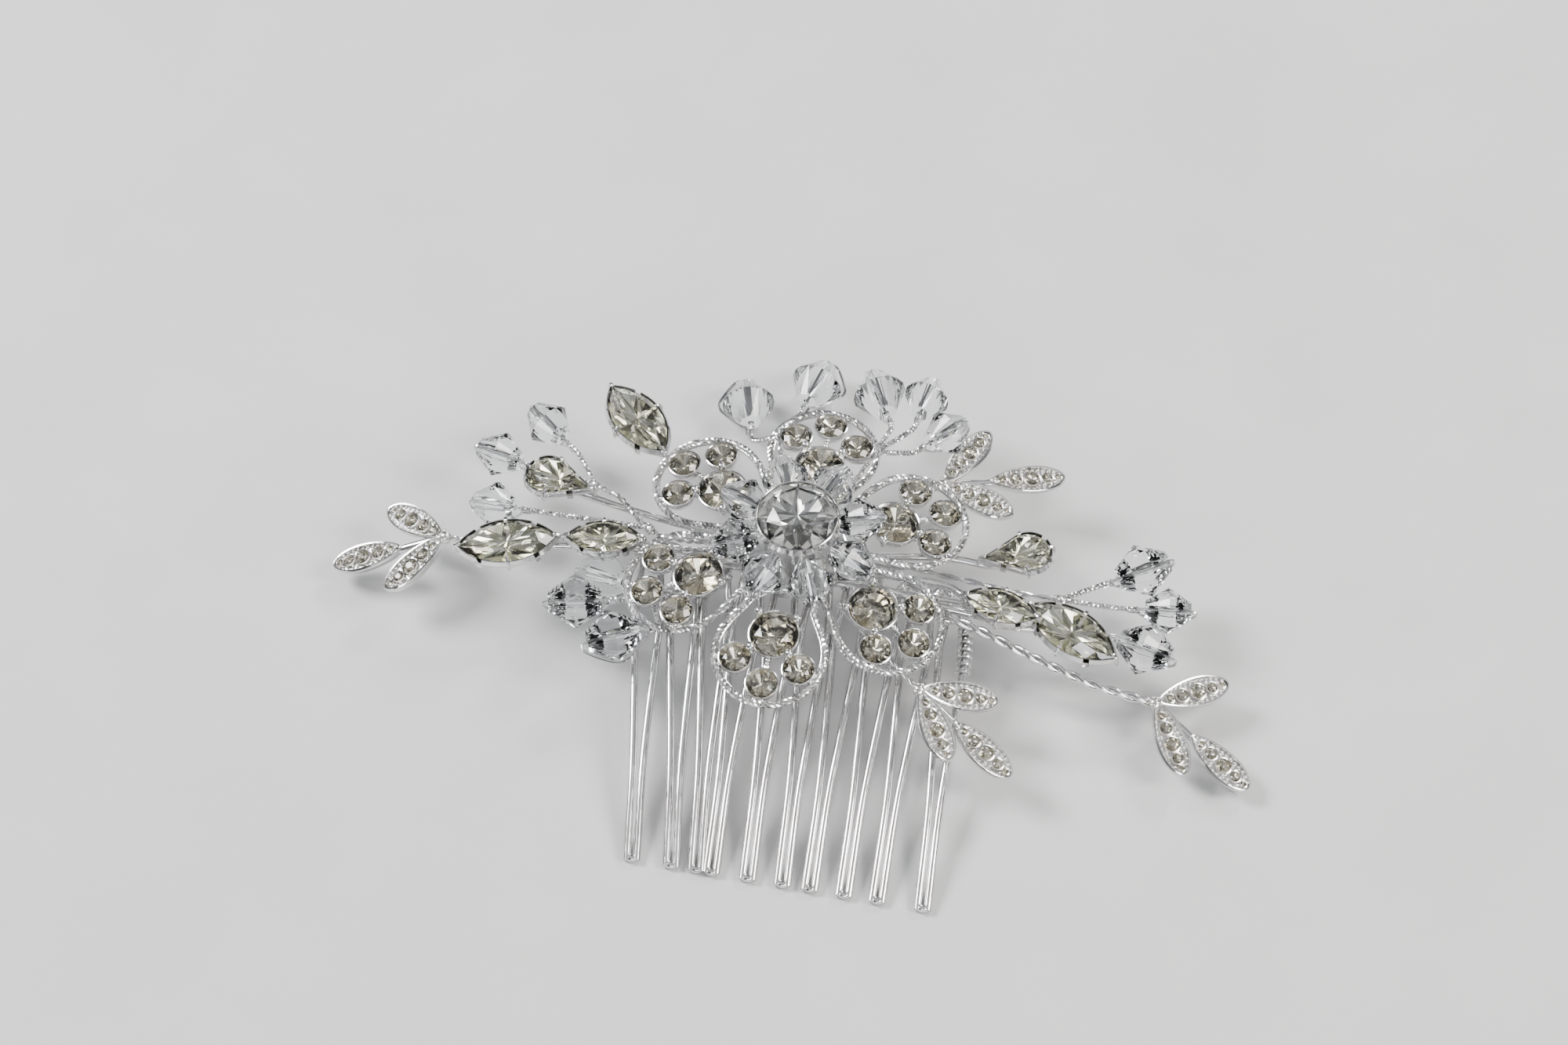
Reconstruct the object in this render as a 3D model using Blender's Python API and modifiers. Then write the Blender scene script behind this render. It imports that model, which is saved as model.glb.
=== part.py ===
"""A wired bridal hair comb: a ten-tooth wire comb with a six-petal rhinestone flower, bead sprays, stones
and leaf sprigs lashed to its rail. It lies as on a table: +Z up, the flower facing up, the teeth towards -Y.

Places are first worked out in the flower's own frame (its axis is x = y = 0, the table is z = 0). At the end
everything moves together so that the bottom centre of the whole comb's box is the origin.
"""

import math

import bmesh
import bpy
from mathutils import Matrix, Vector

MM = 0.001

# Air between pieces that touch on the real comb, and the running clearance of a bead on its wire.
GAP = 0.15 * MM

# The wire comb: one wire bent into ten hairpin teeth, a rail across them and a lashing that holds the two.
COMB_WIRE_D = 1.0 * MM
TOOTH_COUNT = 10
LEG_PITCH = 2.2 * MM
TIP_PITCH = 4.04 * MM
TOOTH_LENGTH = 40.0 * MM
TOOTH_SINK = 5.6 * MM
TIP_SLIT = 0.25 * MM
SHOULDER_ALONG = 7.0 * MM
CLOSED_SHARE = 0.74
RAIL_D = 1.0 * MM
RAIL_OVERHANG = 0.8 * MM
LASHING_D = 0.4 * MM
LEG_WRAP_TURNS = 8
COMB_YAW = -11.0
COMB_LEAN = 4.2 * MM
RAIL_CENTRE = (0.9 * MM, -1.6 * MM)
# Each tooth's tip has been bent a little sideways in use, from the left tooth to the right one.
TIP_DRIFT = [0.0, 0.9, 0.0, -2.1, -1.6, -1.3, -1.9, -1.7, -1.6, 0.0]

# The flower, from the table up.
FLOWER_HEIGHT = 9.5 * MM
BASE_D = 13.0 * MM
BASE_THICK = 1.9 * MM
POST_D = 1.6 * MM
RIVET_D = 3.2 * MM
RIVET_THICK = 0.45 * MM
PETAL_COUNT = 6
FIRST_PETAL = 17.0
PETAL_DROP = 2.2825 * MM
PETAL_ROOT = 6.0 * MM
PETAL_RING_R = 6.9 * MM
PETAL_CLEARANCE = 0.375 * MM
ROPE_D = 0.95 * MM
BIG_CHATON_D = 6.2 * MM
SMALL_CHATON_D = 4.0 * MM
CUP_WALL = 0.25 * MM
BIG_CUP_DEPTH = 1.0 * MM
SMALL_CUP_DEPTH = 0.7 * MM

# The crystal centre: eight beads threaded on a wire spider, and a large stone in a cup riveted above them.
CENTRE_BEAD_COUNT = 8
CENTRE_BEAD_TURN = 11.0
CENTRE_BEAD_TILT = 5.0
SPIDER_HUB_D = 5.6 * MM
SPIDER_HUB_THICK = 1.0 * MM
CENTRE_STONE_D = 9.8 * MM

# Beads are bicones with a hole along the axis.
SMALL_BEAD_D = 6.0 * MM
LARGE_BEAD_D = 7.0 * MM
BEAD_HOLE_D = 1.1 * MM
BEAD_END_SHARE = 0.4
BEAD_LENGTH_SHARE = 0.97
BEAD_SIDES = 8

# Wires of the sprays.
STRAND_D = 0.4 * MM
TWIST_D = 0.8 * MM
KNOT_D = 1.3 * MM
STEM_D = 1.0 * MM
HEAVY_TWIST_D = 1.4 * MM
STEM_RUN_Z = 8.8 * MM

# Set stones: length, width and the height of the girdle over the setting's underside.
LARGE_MARQUISE = (12.7 * MM, 6.2 * MM)
SMALL_MARQUISE = (9.5 * MM, 4.6 * MM)
TEARDROP = (8.9 * MM, 5.5 * MM)
SETTING_DEPTH = 1.7 * MM
SETTING_WALL = 0.3 * MM
SETTING_FLOOR = 0.35 * MM

# The leaf sprigs: cast pans of three leaves on a stalk.
LEAF_LENGTH = 9.8 * MM
LEAF_WIDTH = 3.9 * MM
LEAF_THICK = 1.6 * MM
LEAF_RIM = 0.35 * MM
LEAF_RECESS = 0.55 * MM
STALK_LENGTH = 6.0 * MM
STALK_D = 1.1 * MM

SILVER = ("silver_plate", (0.80, 0.81, 0.83), 0.18, 1.0)
WIRE = ("silver_wire", (0.76, 0.77, 0.80), 0.22, 1.0)
CRYSTAL = ("clear_crystal", (0.93, 0.95, 0.97), 0.03, 0.0)
RHINESTONE = ("foiled_rhinestone", (0.72, 0.70, 0.62), 0.06, 0.3)


# ---------------------------------------------------------------- scene and small tools


def clear_scene():
    for obj in list(bpy.data.objects):
        bpy.data.objects.remove(obj)
    made = bpy.data.collections.new("hair_comb")
    bpy.context.scene.collection.children.link(made)
    return made


COLLECTION = clear_scene()
ROOT = bpy.data.objects.new("hair_comb_frame", None)
COLLECTION.objects.link(ROOT)


def material(spec):
    name, colour, roughness, metallic = spec
    found = bpy.data.materials.get(name)
    if found:
        return found
    made = bpy.data.materials.new(name)
    made.use_nodes = True
    shader = made.node_tree.nodes["Principled BSDF"]
    shader.inputs["Base Color"].default_value = (*colour, 1.0)
    shader.inputs["Roughness"].default_value = roughness
    shader.inputs["Metallic"].default_value = metallic
    return made


def add_object(name, data, finish=None, matrix=None):
    """A new object in the comb's collection. A finished piece has a material and hangs from the root."""
    obj = bpy.data.objects.new(name, data)
    COLLECTION.objects.link(obj)
    if matrix is not None:
        obj.matrix_world = matrix
    if finish:
        obj.parent = ROOT
        if not data.materials:
            data.materials.append(material(finish))
    return obj


def polar(azimuth, radius, z=0.0):
    angle = math.radians(azimuth)
    return Vector((radius * math.cos(angle), radius * math.sin(angle), z))


def direction(azimuth, pitch=0.0):
    rise = math.radians(pitch)
    return polar(azimuth, math.cos(rise), math.sin(rise))


def frame_along(place, azimuth, pitch=0.0):
    """A matrix whose X axis runs along the azimuth and pitch, and whose Z axis is as near up as it can be."""
    turn = Matrix.Rotation(math.radians(azimuth), 4, "Z") @ Matrix.Rotation(math.radians(-pitch), 4, "Y")
    return Matrix.Translation(place) @ turn


def smooth_route(points, per_span):
    """Points along a Catmull-Rom curve through the given ones, per_span to each span."""
    nodes = [Vector(p) for p in points]
    ends = [2 * nodes[0] - nodes[1], *nodes, 2 * nodes[-1] - nodes[-2]]
    route = []
    for i in range(1, len(ends) - 2):
        a, b, c, d = ends[i - 1 : i + 3]
        for k in range(per_span):
            t = k / per_span
            bend = (2 * a - 5 * b + 4 * c - d) * t**2 + (3 * b - a - 3 * c + d) * t**3
            route.append(b + ((c - a) * t + bend) / 2)
    return [*route, nodes[-1]]


def along_route(points, distance):
    """The point at this distance along the route."""
    for a, b in zip(points, points[1:]):
        length = (b - a).length
        if distance <= length:
            return a.lerp(b, distance / length)
        distance -= length
    return points[-1]


def tube(name, points, width, finish=None, widths=None, resolution=1):
    """A round wire along the points, as a curve with filled caps. widths gives each point's own width."""
    curve = bpy.data.curves.new(name, "CURVE")
    curve.dimensions = "3D"
    curve.bevel_depth = width / 2
    curve.bevel_resolution = resolution
    curve.use_fill_caps = True
    spline = curve.splines.new("POLY")
    spline.points.add(len(points) - 1)
    for i, (point, place) in enumerate(zip(spline.points, points, strict=True)):
        point.co = (*place, 1.0)
        point.radius = widths[i] / width if widths else 1.0
    return add_object(name, curve, finish)


def turned(name, profile, sides, finish=None, matrix=None):
    """A solid of revolution about Z. The profile's (radius, height) points run down the outer side."""
    mesh = bpy.data.meshes.new(name)
    closed = profile[0][0] > 0
    edges = [(i, i + 1) for i in range(len(profile) - 1)]
    if closed:
        edges.append((len(profile) - 1, 0))
    mesh.from_pydata([(r, 0.0, z) for r, z in profile], edges, [])
    obj = add_object(name, mesh, finish, matrix)
    screw = obj.modifiers.new("turn", "SCREW")
    screw.steps = screw.render_steps = sides
    screw.use_merge_vertices = True
    screw.merge_threshold = 1e-7
    screw.use_smooth_shade = False
    return obj


def loft(name, rings, finish=None, matrix=None):
    """A closed solid through rings of equally many points, capped at both ends."""
    mesh = bpy.data.meshes.new(name)
    made = bmesh.new()
    loops = [[made.verts.new(p) for p in ring] for ring in rings]
    count = len(rings[0])
    for low, high in zip(loops, loops[1:]):
        for i in range(count):
            j = (i + 1) % count
            made.faces.new((low[i], low[j], high[j], high[i]))
    made.faces.new(list(reversed(loops[0])))
    made.faces.new(loops[-1])
    bmesh.ops.recalc_face_normals(made, faces=made.faces)
    made.to_mesh(mesh)
    made.free()
    return add_object(name, mesh, finish, matrix)


def knot(name, place, width):
    """A small faceted lump where wires are wound together."""
    bpy.ops.mesh.primitive_ico_sphere_add(subdivisions=1, radius=width / 2 * 1.1, location=place)
    obj = bpy.context.object
    obj.name = name
    return obj


def as_mesh(obj):
    """A mesh object that stands for obj: modifiers and curves evaluated, loose caps welded."""
    bpy.context.view_layer.update()
    graph = bpy.context.evaluated_depsgraph_get()
    mesh = bpy.data.meshes.new_from_object(obj.evaluated_get(graph))
    made = bmesh.new()
    made.from_mesh(mesh)
    bmesh.ops.remove_doubles(made, verts=made.verts, dist=1e-7)
    made.to_mesh(mesh)
    made.free()
    stand_in = add_object(obj.name + "_mesh", mesh, matrix=obj.matrix_world.copy())
    bpy.data.objects.remove(obj)
    return stand_in


def joined(name, pieces):
    """The mesh of the Boolean union of the pieces, which are removed."""
    solids = [as_mesh(piece) for piece in pieces]
    first = solids[0]
    for other in solids[1:]:
        union = first.modifiers.new("join", "BOOLEAN")
        union.operation = "UNION"
        union.solver = "EXACT"
        union.object = other
    bpy.context.view_layer.update()
    graph = bpy.context.evaluated_depsgraph_get()
    mesh = bpy.data.meshes.new_from_object(first.evaluated_get(graph))
    mesh.transform(first.matrix_world)
    mesh.name = name
    mesh.materials.clear()
    for solid in solids:
        bpy.data.objects.remove(solid)
    return mesh


# ---------------------------------------------------------------- heights that follow from the sizes

COMB_R = COMB_WIRE_D / 2
TIP_BEND_R = (COMB_WIRE_D + TIP_SLIT) / 2
ROPE_R = ROPE_D / 2
LASHING_TOP = STEM_RUN_Z - STEM_D / 2 - GAP
RAIL_Z = LASHING_TOP - LASHING_D - GAP - RAIL_D / 2
COMB_Z = RAIL_Z - RAIL_D / 2 - GAP - COMB_R
BASE_Z = max(FLOWER_HEIGHT, STEM_RUN_Z + STEM_D / 2 + GAP)
BASE_TOP = BASE_Z + BASE_THICK
PETAL_Z = BASE_TOP + GAP + ROPE_R
# The rings stand as close round the flower as their clearance lets them, with their outer edges hanging low.
PETAL_REACH = (PETAL_RING_R + ROPE_R + PETAL_CLEARANCE) / math.sin(math.pi / PETAL_COUNT)
PETAL_RUN = PETAL_REACH - PETAL_ROOT
PETAL_TILT = math.degrees(math.asin(PETAL_DROP / (PETAL_RUN + PETAL_RING_R)))
FLOWER_R = PETAL_ROOT + (PETAL_RUN + PETAL_RING_R + ROPE_R) * math.cos(math.radians(PETAL_TILT))
BEAD_RING_R = (SMALL_BEAD_D + GAP) / 2 / math.sin(math.pi / CENTRE_BEAD_COUNT)
BEAD_RING_Z = PETAL_Z + ROPE_R + GAP + SMALL_BEAD_D / 2
HUB_Z = BEAD_RING_Z + BEAD_RING_R * math.sin(math.radians(CENTRE_BEAD_TILT))
CUP_FLOOR_Z = HUB_Z + SPIDER_HUB_THICK / 2 + GAP
CENTRE_CUP_DEPTH = 1.6 * MM


def beyond(azimuth, distance, z):
    """A place outside the flower: its azimuth, how far past the petals' edge it lies, and its height."""
    return polar(azimuth, FLOWER_R + distance, z)


# ---------------------------------------------------------------- the wire comb


def comb_place(across, along, lift=0.0):
    """A point of the comb: across the rail, along the teeth from the rail, and lifted off the comb's surface.
    The teeth sink towards their tips in an even curve."""
    share = max(along, 0.0) / TOOTH_LENGTH
    lean = -COMB_LEAN * share
    z = COMB_Z - TOOTH_SINK * share**2 + lift
    flat = Matrix.Rotation(math.radians(COMB_YAW), 3, "Z") @ Vector((across - lean, -along, 0.0))
    return Vector((RAIL_CENTRE[0] + flat.x, RAIL_CENTRE[1] + flat.y, z))


def leg_root(leg):
    """Where a leg crosses the rail. Every tooth has two legs, numbered along the rail."""
    return (leg - (2 * TOOTH_COUNT - 1) / 2) * LEG_PITCH


def tip_centre(tooth):
    return (tooth - (TOOTH_COUNT - 1) / 2) * TIP_PITCH + TIP_DRIFT[tooth % len(TIP_DRIFT)] * MM


def leg_point(leg, along):
    """A point of a leg's centre line. Below the rail the neighbours of two teeth swing together, then each
    tooth's own two legs close up and run side by side to the tip."""
    tooth, side = leg // 2, -1 if leg % 2 == 0 else 1
    run = TOOTH_LENGTH - TIP_BEND_R
    root = (leg_root(2 * tooth) + leg_root(2 * tooth + 1)) / 2
    shoulder = LEG_PITCH - COMB_R - GAP / 2
    closed = run * CLOSED_SHARE
    if along < SHOULDER_ALONG:
        near, far, share = LEG_PITCH / 2, shoulder, along / SHOULDER_ALONG
    else:
        share = min(1.0, (along - SHOULDER_ALONG) / (closed - SHOULDER_ALONG))
        near, far = shoulder, TIP_BEND_R
    eased = (share + share**2 * (3 - 2 * share)) / 2
    across = root + (tip_centre(tooth) - root) * along / run + side * (near + (far - near) * eased)
    return comb_place(across, along)


def leg_route(leg):
    """The leg's points from the rail to the start of its tip's bend, closer together at the shoulder."""
    run = TOOTH_LENGTH - TIP_BEND_R
    low = [SHOULDER_ALONG + (run - SHOULDER_ALONG) * share for share in (0.2, 0.42, 0.68, 1.0)]
    return [leg_point(leg, a) for a in (0.0, SHOULDER_ALONG / 2, SHOULDER_ALONG, *low)]


def add_comb():
    top_r = LEG_PITCH / 2
    top_start = RAIL_D / 2 + LASHING_D + 2 * GAP
    route = []
    for tooth in range(TOOTH_COUNT):
        left, right = 2 * tooth, 2 * tooth + 1
        route.append(comb_place(leg_root(left), -top_start))
        route += leg_route(left)
        for angle in (50, 90, 130):
            bend = math.radians(angle)
            across = tip_centre(tooth) - TIP_BEND_R * math.cos(bend)
            route.append(comb_place(across, TOOTH_LENGTH - TIP_BEND_R * (1 - math.sin(bend))))
        route += reversed(leg_route(right))
        route.append(comb_place(leg_root(right), -top_start))
        if tooth < TOOTH_COUNT - 1:
            for angle in (50, 90, 130):
                bend = math.radians(angle)
                across = leg_root(right) + top_r * (1 - math.cos(bend))
                route.append(comb_place(across, -top_start - top_r * math.sin(bend)))
    tube("comb_teeth", route, COMB_WIRE_D, WIRE)

    half = leg_root(2 * TOOTH_COUNT - 1) + COMB_R + RAIL_OVERHANG
    lift = RAIL_Z - COMB_Z
    tube("comb_rail", [comb_place(-half, 0, lift), comb_place(half, 0, lift)], RAIL_D, WIRE, resolution=2)
    add_lashing()


def add_lashing():
    """The binding wire goes under the teeth in one gap, over the rail to the next tooth's gap, and so on. At
    the right end it is wound down the last leg to finish it off."""
    middle = (RAIL_Z + RAIL_D / 2 + COMB_Z - COMB_R) / 2 - COMB_Z
    high = (RAIL_Z - COMB_Z + RAIL_D / 2 + COMB_R) / 2 + 1.4 * GAP + LASHING_D / 2
    wide = RAIL_D / 2 + GAP + LASHING_D / 2 + GAP
    steps = 8
    first_gap = leg_root(0) + LEG_PITCH / 2
    turns = TOOTH_COUNT - 1
    route = []
    for k in range(turns * steps + 1):
        turn = k / steps
        angle = 2 * math.pi * turn
        # The wire steps sideways over the rail and under a leg, and keeps to the gap between legs elsewhere.
        across = first_gap + 2 * LEG_PITCH * (turn - math.sin(4 * math.pi * turn) / (4 * math.pi))
        route.append(comb_place(across, wide * math.cos(angle), middle + high * math.sin(angle)))
    last = 2 * TOOTH_COUNT - 1
    wrap = COMB_R + GAP + LASHING_D / 2
    side = leg_root(last) - wrap
    pitch = 2.6 * LASHING_D
    start = route[-1]
    leg_start = wide + LASHING_D
    entry = comb_place(side, leg_start)
    route.append((start + entry) / 2)
    leg = leg_route(last)
    for k in range(LEG_WRAP_TURNS * 6 + 1):
        angle = math.pi + 2 * math.pi * k / 6
        along = leg_start + pitch * k / 6
        centre = along_route(leg, along)
        flat = Matrix.Rotation(math.radians(COMB_YAW), 3, "Z") @ Vector((wrap * math.cos(angle), 0.0, 0.0))
        route.append(centre + flat + Vector((0.0, 0.0, wrap * math.sin(angle))))
    tube("lashing_wire", route, LASHING_D, WIRE)


# ---------------------------------------------------------------- beads


def bead_length(width):
    return width * BEAD_LENGTH_SHARE


def add_bead(name, width, place, axis):
    """A bicone bead whose hole runs along axis."""
    half, hole, end = bead_length(width) / 2, BEAD_HOLE_D / 2, width / 2 * BEAD_END_SHARE
    profile = [(hole, half), (end, half), (width / 2, 0.0), (end, -half), (hole, -half)]
    matrix = Matrix.Translation(place) @ axis.to_track_quat("Z", "Y").to_matrix().to_4x4()
    return turned(name, profile, BEAD_SIDES, CRYSTAL, matrix)


# ---------------------------------------------------------------- the flower


def chaton_cup(name, width, depth, place):
    """A round cup with its faceted stone in it: they are joined in one turned solid."""
    stone, rim = width / 2, width / 2 + CUP_WALL
    seat, crown = 0.45 * MM, 0.30 * width / 2
    profile = [
        (0.0, seat + crown),
        (stone * 0.55, seat + crown),
        (stone, seat),
        (rim, seat),
        (rim * 0.86, -depth),
        (0.0, -depth),
    ]
    return turned(name, profile, 8, matrix=Matrix.Translation(place))


def petal_mesh():
    """One petal about its ring's centre, X outwards: an open rope ring round one large and three small cups,
    tied together by solder bars."""
    root = -PETAL_RUN
    ring = PETAL_RING_R
    opening = 115
    arc = [polar(-opening + 2 * opening * k / 10, ring) for k in range(11)]
    half_share = math.pi / PETAL_COUNT
    narrow = PETAL_ROOT * math.tan(half_share) - (ROPE_R + GAP) / math.cos(half_share)
    inner = Vector((root, narrow, 0.0))
    waist = (inner + arc[-1]) / 2
    waist.y -= 0.02 * ring
    mirror = Matrix.Diagonal((1, -1, 1))
    route = [mirror @ inner, mirror @ waist, *arc, waist, inner]
    rope = tube("rope", route, ROPE_D)

    big_at = Vector((-2.5 * MM, 0.0, 0.0))
    outer_at = Vector((ring - ROPE_R - SMALL_CHATON_D / 2 - CUP_WALL + 0.15 * MM, 0.0, 0.0))
    side_at = polar(69.0, ring - ROPE_R - SMALL_CHATON_D / 2 - CUP_WALL + 0.15 * MM)
    cups = [chaton_cup("big_cup", BIG_CHATON_D, BIG_CUP_DEPTH, big_at)]
    bars = []
    for k, place in enumerate((outer_at, side_at, mirror @ side_at)):
        cups.append(chaton_cup(f"small_cup_{k}", SMALL_CHATON_D, SMALL_CUP_DEPTH, place))
        rim = place * (ring / place.length)
        low = Vector((0.0, 0.0, -0.11 * MM))
        bars.append(tube(f"bar_{k}", [big_at + low, rim + low * 0.6], ROPE_D * 0.8))
    return joined("petal", [rope, *bars, *cups])


def add_petals():
    mesh = petal_mesh()
    for k in range(PETAL_COUNT):
        tilt = Matrix.Rotation(math.radians(PETAL_TILT), 4, "Y")
        root = Matrix.Translation((PETAL_ROOT, 0.0, PETAL_Z)) @ tilt
        turn = Matrix.Rotation(math.radians(FIRST_PETAL + 360 / PETAL_COUNT * k), 4, "Z")
        matrix = turn @ root @ Matrix.Translation((PETAL_RUN, 0.0, 0.0))
        add_object(f"petal_{k + 1}", mesh, SILVER, matrix)


def add_base():
    bore = POST_D / 2 + GAP
    edge = BASE_D / 2
    shoulder = [(edge - 0.4 * MM, BASE_TOP), (edge, BASE_TOP - 0.5 * MM)]
    profile = [(bore, BASE_TOP), *shoulder, (edge, BASE_Z), (bore, BASE_Z)]
    turned("flower_base", profile, 20, SILVER)


def add_centre_cup():
    stone, post = CENTRE_STONE_D / 2, POST_D / 2
    rim_z = CUP_FLOOR_Z + CENTRE_CUP_DEPTH
    floor = CUP_FLOOR_Z + 0.4 * MM
    head_top = BASE_Z - GAP
    profile = [
        (0.0, floor),
        (stone * 0.45, floor),
        (stone + GAP, rim_z),
        (stone + GAP + 0.35 * MM, rim_z),
        (stone + GAP + 0.35 * MM, rim_z - 0.5 * MM),
        (stone * 0.55, CUP_FLOOR_Z),
        (post, CUP_FLOOR_Z),
        (post, head_top),
        (RIVET_D / 2, head_top),
        (RIVET_D / 2, head_top - RIVET_THICK),
        (0.0, head_top - RIVET_THICK),
    ]
    turned("centre_cup", profile, 20, SILVER)


def add_centre_stone():
    """A round brilliant: flat table, crown, girdle and a pavilion that sits in the cup."""
    stone = CENTRE_STONE_D / 2
    girdle = CUP_FLOOR_Z + CENTRE_CUP_DEPTH + 0.05 * MM
    culet = CUP_FLOOR_Z + 0.4 * MM + GAP
    profile = [
        (0.0, girdle + 2.4 * MM),
        (stone * 0.5, girdle + 2.4 * MM),
        (stone * 0.86, girdle + 1.3 * MM),
        (stone, girdle + 0.3 * MM),
        (stone, girdle),
        (stone * 0.4, culet),
        (0.0, culet),
    ]
    turned("centre_stone", profile, 14, RHINESTONE)


def add_centre_beads():
    """The spider is a drilled hub with one arm for each bead. A head at the arm's end keeps the bead on."""
    bore, hub = POST_D / 2 + GAP, SPIDER_HUB_D / 2
    high = HUB_Z + SPIDER_HUB_THICK / 2
    low = HUB_Z - SPIDER_HUB_THICK / 2
    pieces = [turned("hub", [(bore, high), (hub, high), (hub, low), (bore, low)], 16)]
    half = bead_length(SMALL_BEAD_D) / 2
    out = BEAD_RING_R / math.cos(math.radians(CENTRE_BEAD_TILT))
    arm, head = STRAND_D / 2, BEAD_HOLE_D / 2 + 0.1 * MM
    for k in range(CENTRE_BEAD_COUNT):
        azimuth = CENTRE_BEAD_TURN + 360 / CENTRE_BEAD_COUNT * k
        axis = direction(azimuth, -CENTRE_BEAD_TILT)
        start = Vector((0.0, 0.0, HUB_Z))
        turn = axis.to_track_quat("Z", "Y").to_matrix().to_4x4()
        base = out + half + GAP
        inner = (bore + hub) / 2
        profile = [(0.0, base + 0.4 * MM), (head, base + 0.2 * MM), (head, base)]
        profile += [(arm, base), (arm, inner), (0.0, inner)]
        pieces.append(turned(f"arm_{k}", profile, 6, matrix=Matrix.Translation(start) @ turn))
        add_bead(f"centre_bead_{k + 1}", SMALL_BEAD_D, start + axis * out, axis)
    add_object("bead_spider", joined("bead_spider", pieces), WIRE)


# ---------------------------------------------------------------- bead sprays

# Each spray: the azimuth and radius where its twisted wire ends under the flower, the wire's way points
# (azimuth, distance beyond the petals, height), and its beads. A bead has a size, its place from the fork in
# widths of the large bead (outwards, to the left seen from the flower, up), the azimuth and pitch of its
# hole, the side on which the wire comes back (0 is under the bead, 90 is on its left), and the way point at
# which its stalk leaves the trunk, or None for the fork. The left front fork hangs so low that the top of its
# second bead, half a bead over that bead's centre, stays at UNDER_STEMS_Z and clear of the stem above it.
UNDER_STEMS_Z = 8.92
SPRAYS = {
    "left_back": {
        "root": (165.5, 9.2),
        "way": [(168.5, -6.0, 8.8), (166.5, -3.2, 9.2), (163.0, -0.7, 10.1), (158.5, 1.8, 9.8)],
        "fork": (155.9, 5.7, 8.5),
        "beads": [
            ("small", (1.92, 0.08, -0.05), 156.0, 0.0, 0.0, None),
            ("small", (1.40, -0.90, -0.05), 132.0, 4.0, 0.0, None),
            ("small", (1.55, 1.05, -0.17), 162.0, -12.0, 0.0, 1),
        ],
    },
    "left_front": {
        "root": (196.0, 8.6),
        "way": [(196.0, -8.0, 8.6)],
        "fork": (196.0, -3.6, UNDER_STEMS_Z - 0.16 * LARGE_BEAD_D / MM),
        "beads": [
            ("large", (1.34, -0.33, 0.02), 182.0, 0.0, 0.0, None),
            ("large", (0.71, -0.93, -0.34), 150.0, -20.0, 0.0, None),
            ("large", (0.88, 0.60, 0.07), 196.0, 0.0, 90.0, None),
        ],
    },
    "back": {
        "root": (96.0, 8.4),
        "way": [(97.0, -8.0, 8.7)],
        "fork": (97.0, -3.2, 8.2),
        "beads": [
            ("large", (1.27, 0.42, -0.69), 96.0, -8.0, 90.0, None),
            ("large", (1.56, -0.92, -0.69), 66.0, -8.0, -90.0, None),
        ],
    },
    "back_right": {
        "root": (58.0, 8.4),
        "way": [(58.0, -8.0, 8.7)],
        "fork": (58.5, -3.4, 8.8),
        "beads": [
            ("large", (1.10, 0.56, 0.10), 104.0, -8.0, 0.0, None),
            ("small", (1.35, -0.30, 0.31), 70.0, -8.0, 0.0, None),
            ("small", (0.82, -1.04, 0.39), 38.0, -8.0, 0.0, None),
        ],
    },
    "right": {
        "root": (-4.5, 9.6),
        "way": [(-5.7, -7.2, 8.8), (-8.0, -2.9, 8.9), (-9.5, 1.7, 9.0), (-10.2, 5.7, 8.8)],
        "fork": (-8.6, 10.8, 7.2),
        "beads": [
            ("large", (1.43, 0.71, 0.22), 18.0, 8.0, 0.0, None),
            ("small", (1.96, 0.09, -0.05), -4.0, 0.0, 0.0, None),
            ("large", (1.64, -0.74, -0.09), -25.0, 0.0, 0.0, None),
        ],
    },
}


def bead_wire(name, fork, place, axis, width, side):
    """The twisted stalk from the fork to the bead, then one strand through the hole and back outside the
    bead. Its end lies along the stalk."""
    half, end = bead_length(width) / 2, width / 2 * BEAD_END_SHARE
    across = axis.cross(Vector((0.0, 0.0, 1.0))).normalized()
    under = axis.cross(across).normalized()
    if under.z > 0:
        under = -under
    turn = math.radians(side)
    out = under * math.cos(turn) - across * math.sin(turn)
    clear = GAP + STRAND_D / 2
    near = half + 0.8 * MM
    bend = place - axis * (near + (place - fork).length * 0.22)
    stalk = smooth_route([fork, bend, place - axis * near], 2)
    tail = (TWIST_D + STRAND_D) / 2 + GAP / 2
    loop = [
        (-half + 0.4 * MM, 0.0),
        (half + 0.2 * MM, 0.0),
        (half + 2 * clear, 0.35 * end),
        (half + 1.3 * clear, end),
        (0.9 * clear + half * 0.5, (end + width / 2) / 2 + 1.4 * clear),
        (0.0, width / 2 + 1.2 * clear),
        (-0.9 * clear - half * 0.5, (end + width / 2) / 2 + 1.4 * clear),
        (-half - 1.3 * clear, end),
        (-near, tail + 0.1 * MM),
        (-near - 1.2 * MM, tail),
    ]
    points = stalk + [place + axis * a + out * b for a, b in loop]
    widths = [TWIST_D] * len(stalk) + [STRAND_D] * len(loop)
    return tube(name, points, TWIST_D, widths=widths)


def fork_place(spray):
    azimuth, distance, height = SPRAYS[spray]["fork"]
    return beyond(azimuth, distance * MM, height * MM)


def bead_place(spray, number):
    """The centre of a spray's bead, counted from 0."""
    azimuth = SPRAYS[spray]["fork"][0]
    out, sideways, up = SPRAYS[spray]["beads"][number][1]
    offset = direction(azimuth) * out + direction(azimuth + 90) * sideways + Vector((0, 0, up))
    return fork_place(spray) + offset * LARGE_BEAD_D


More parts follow.
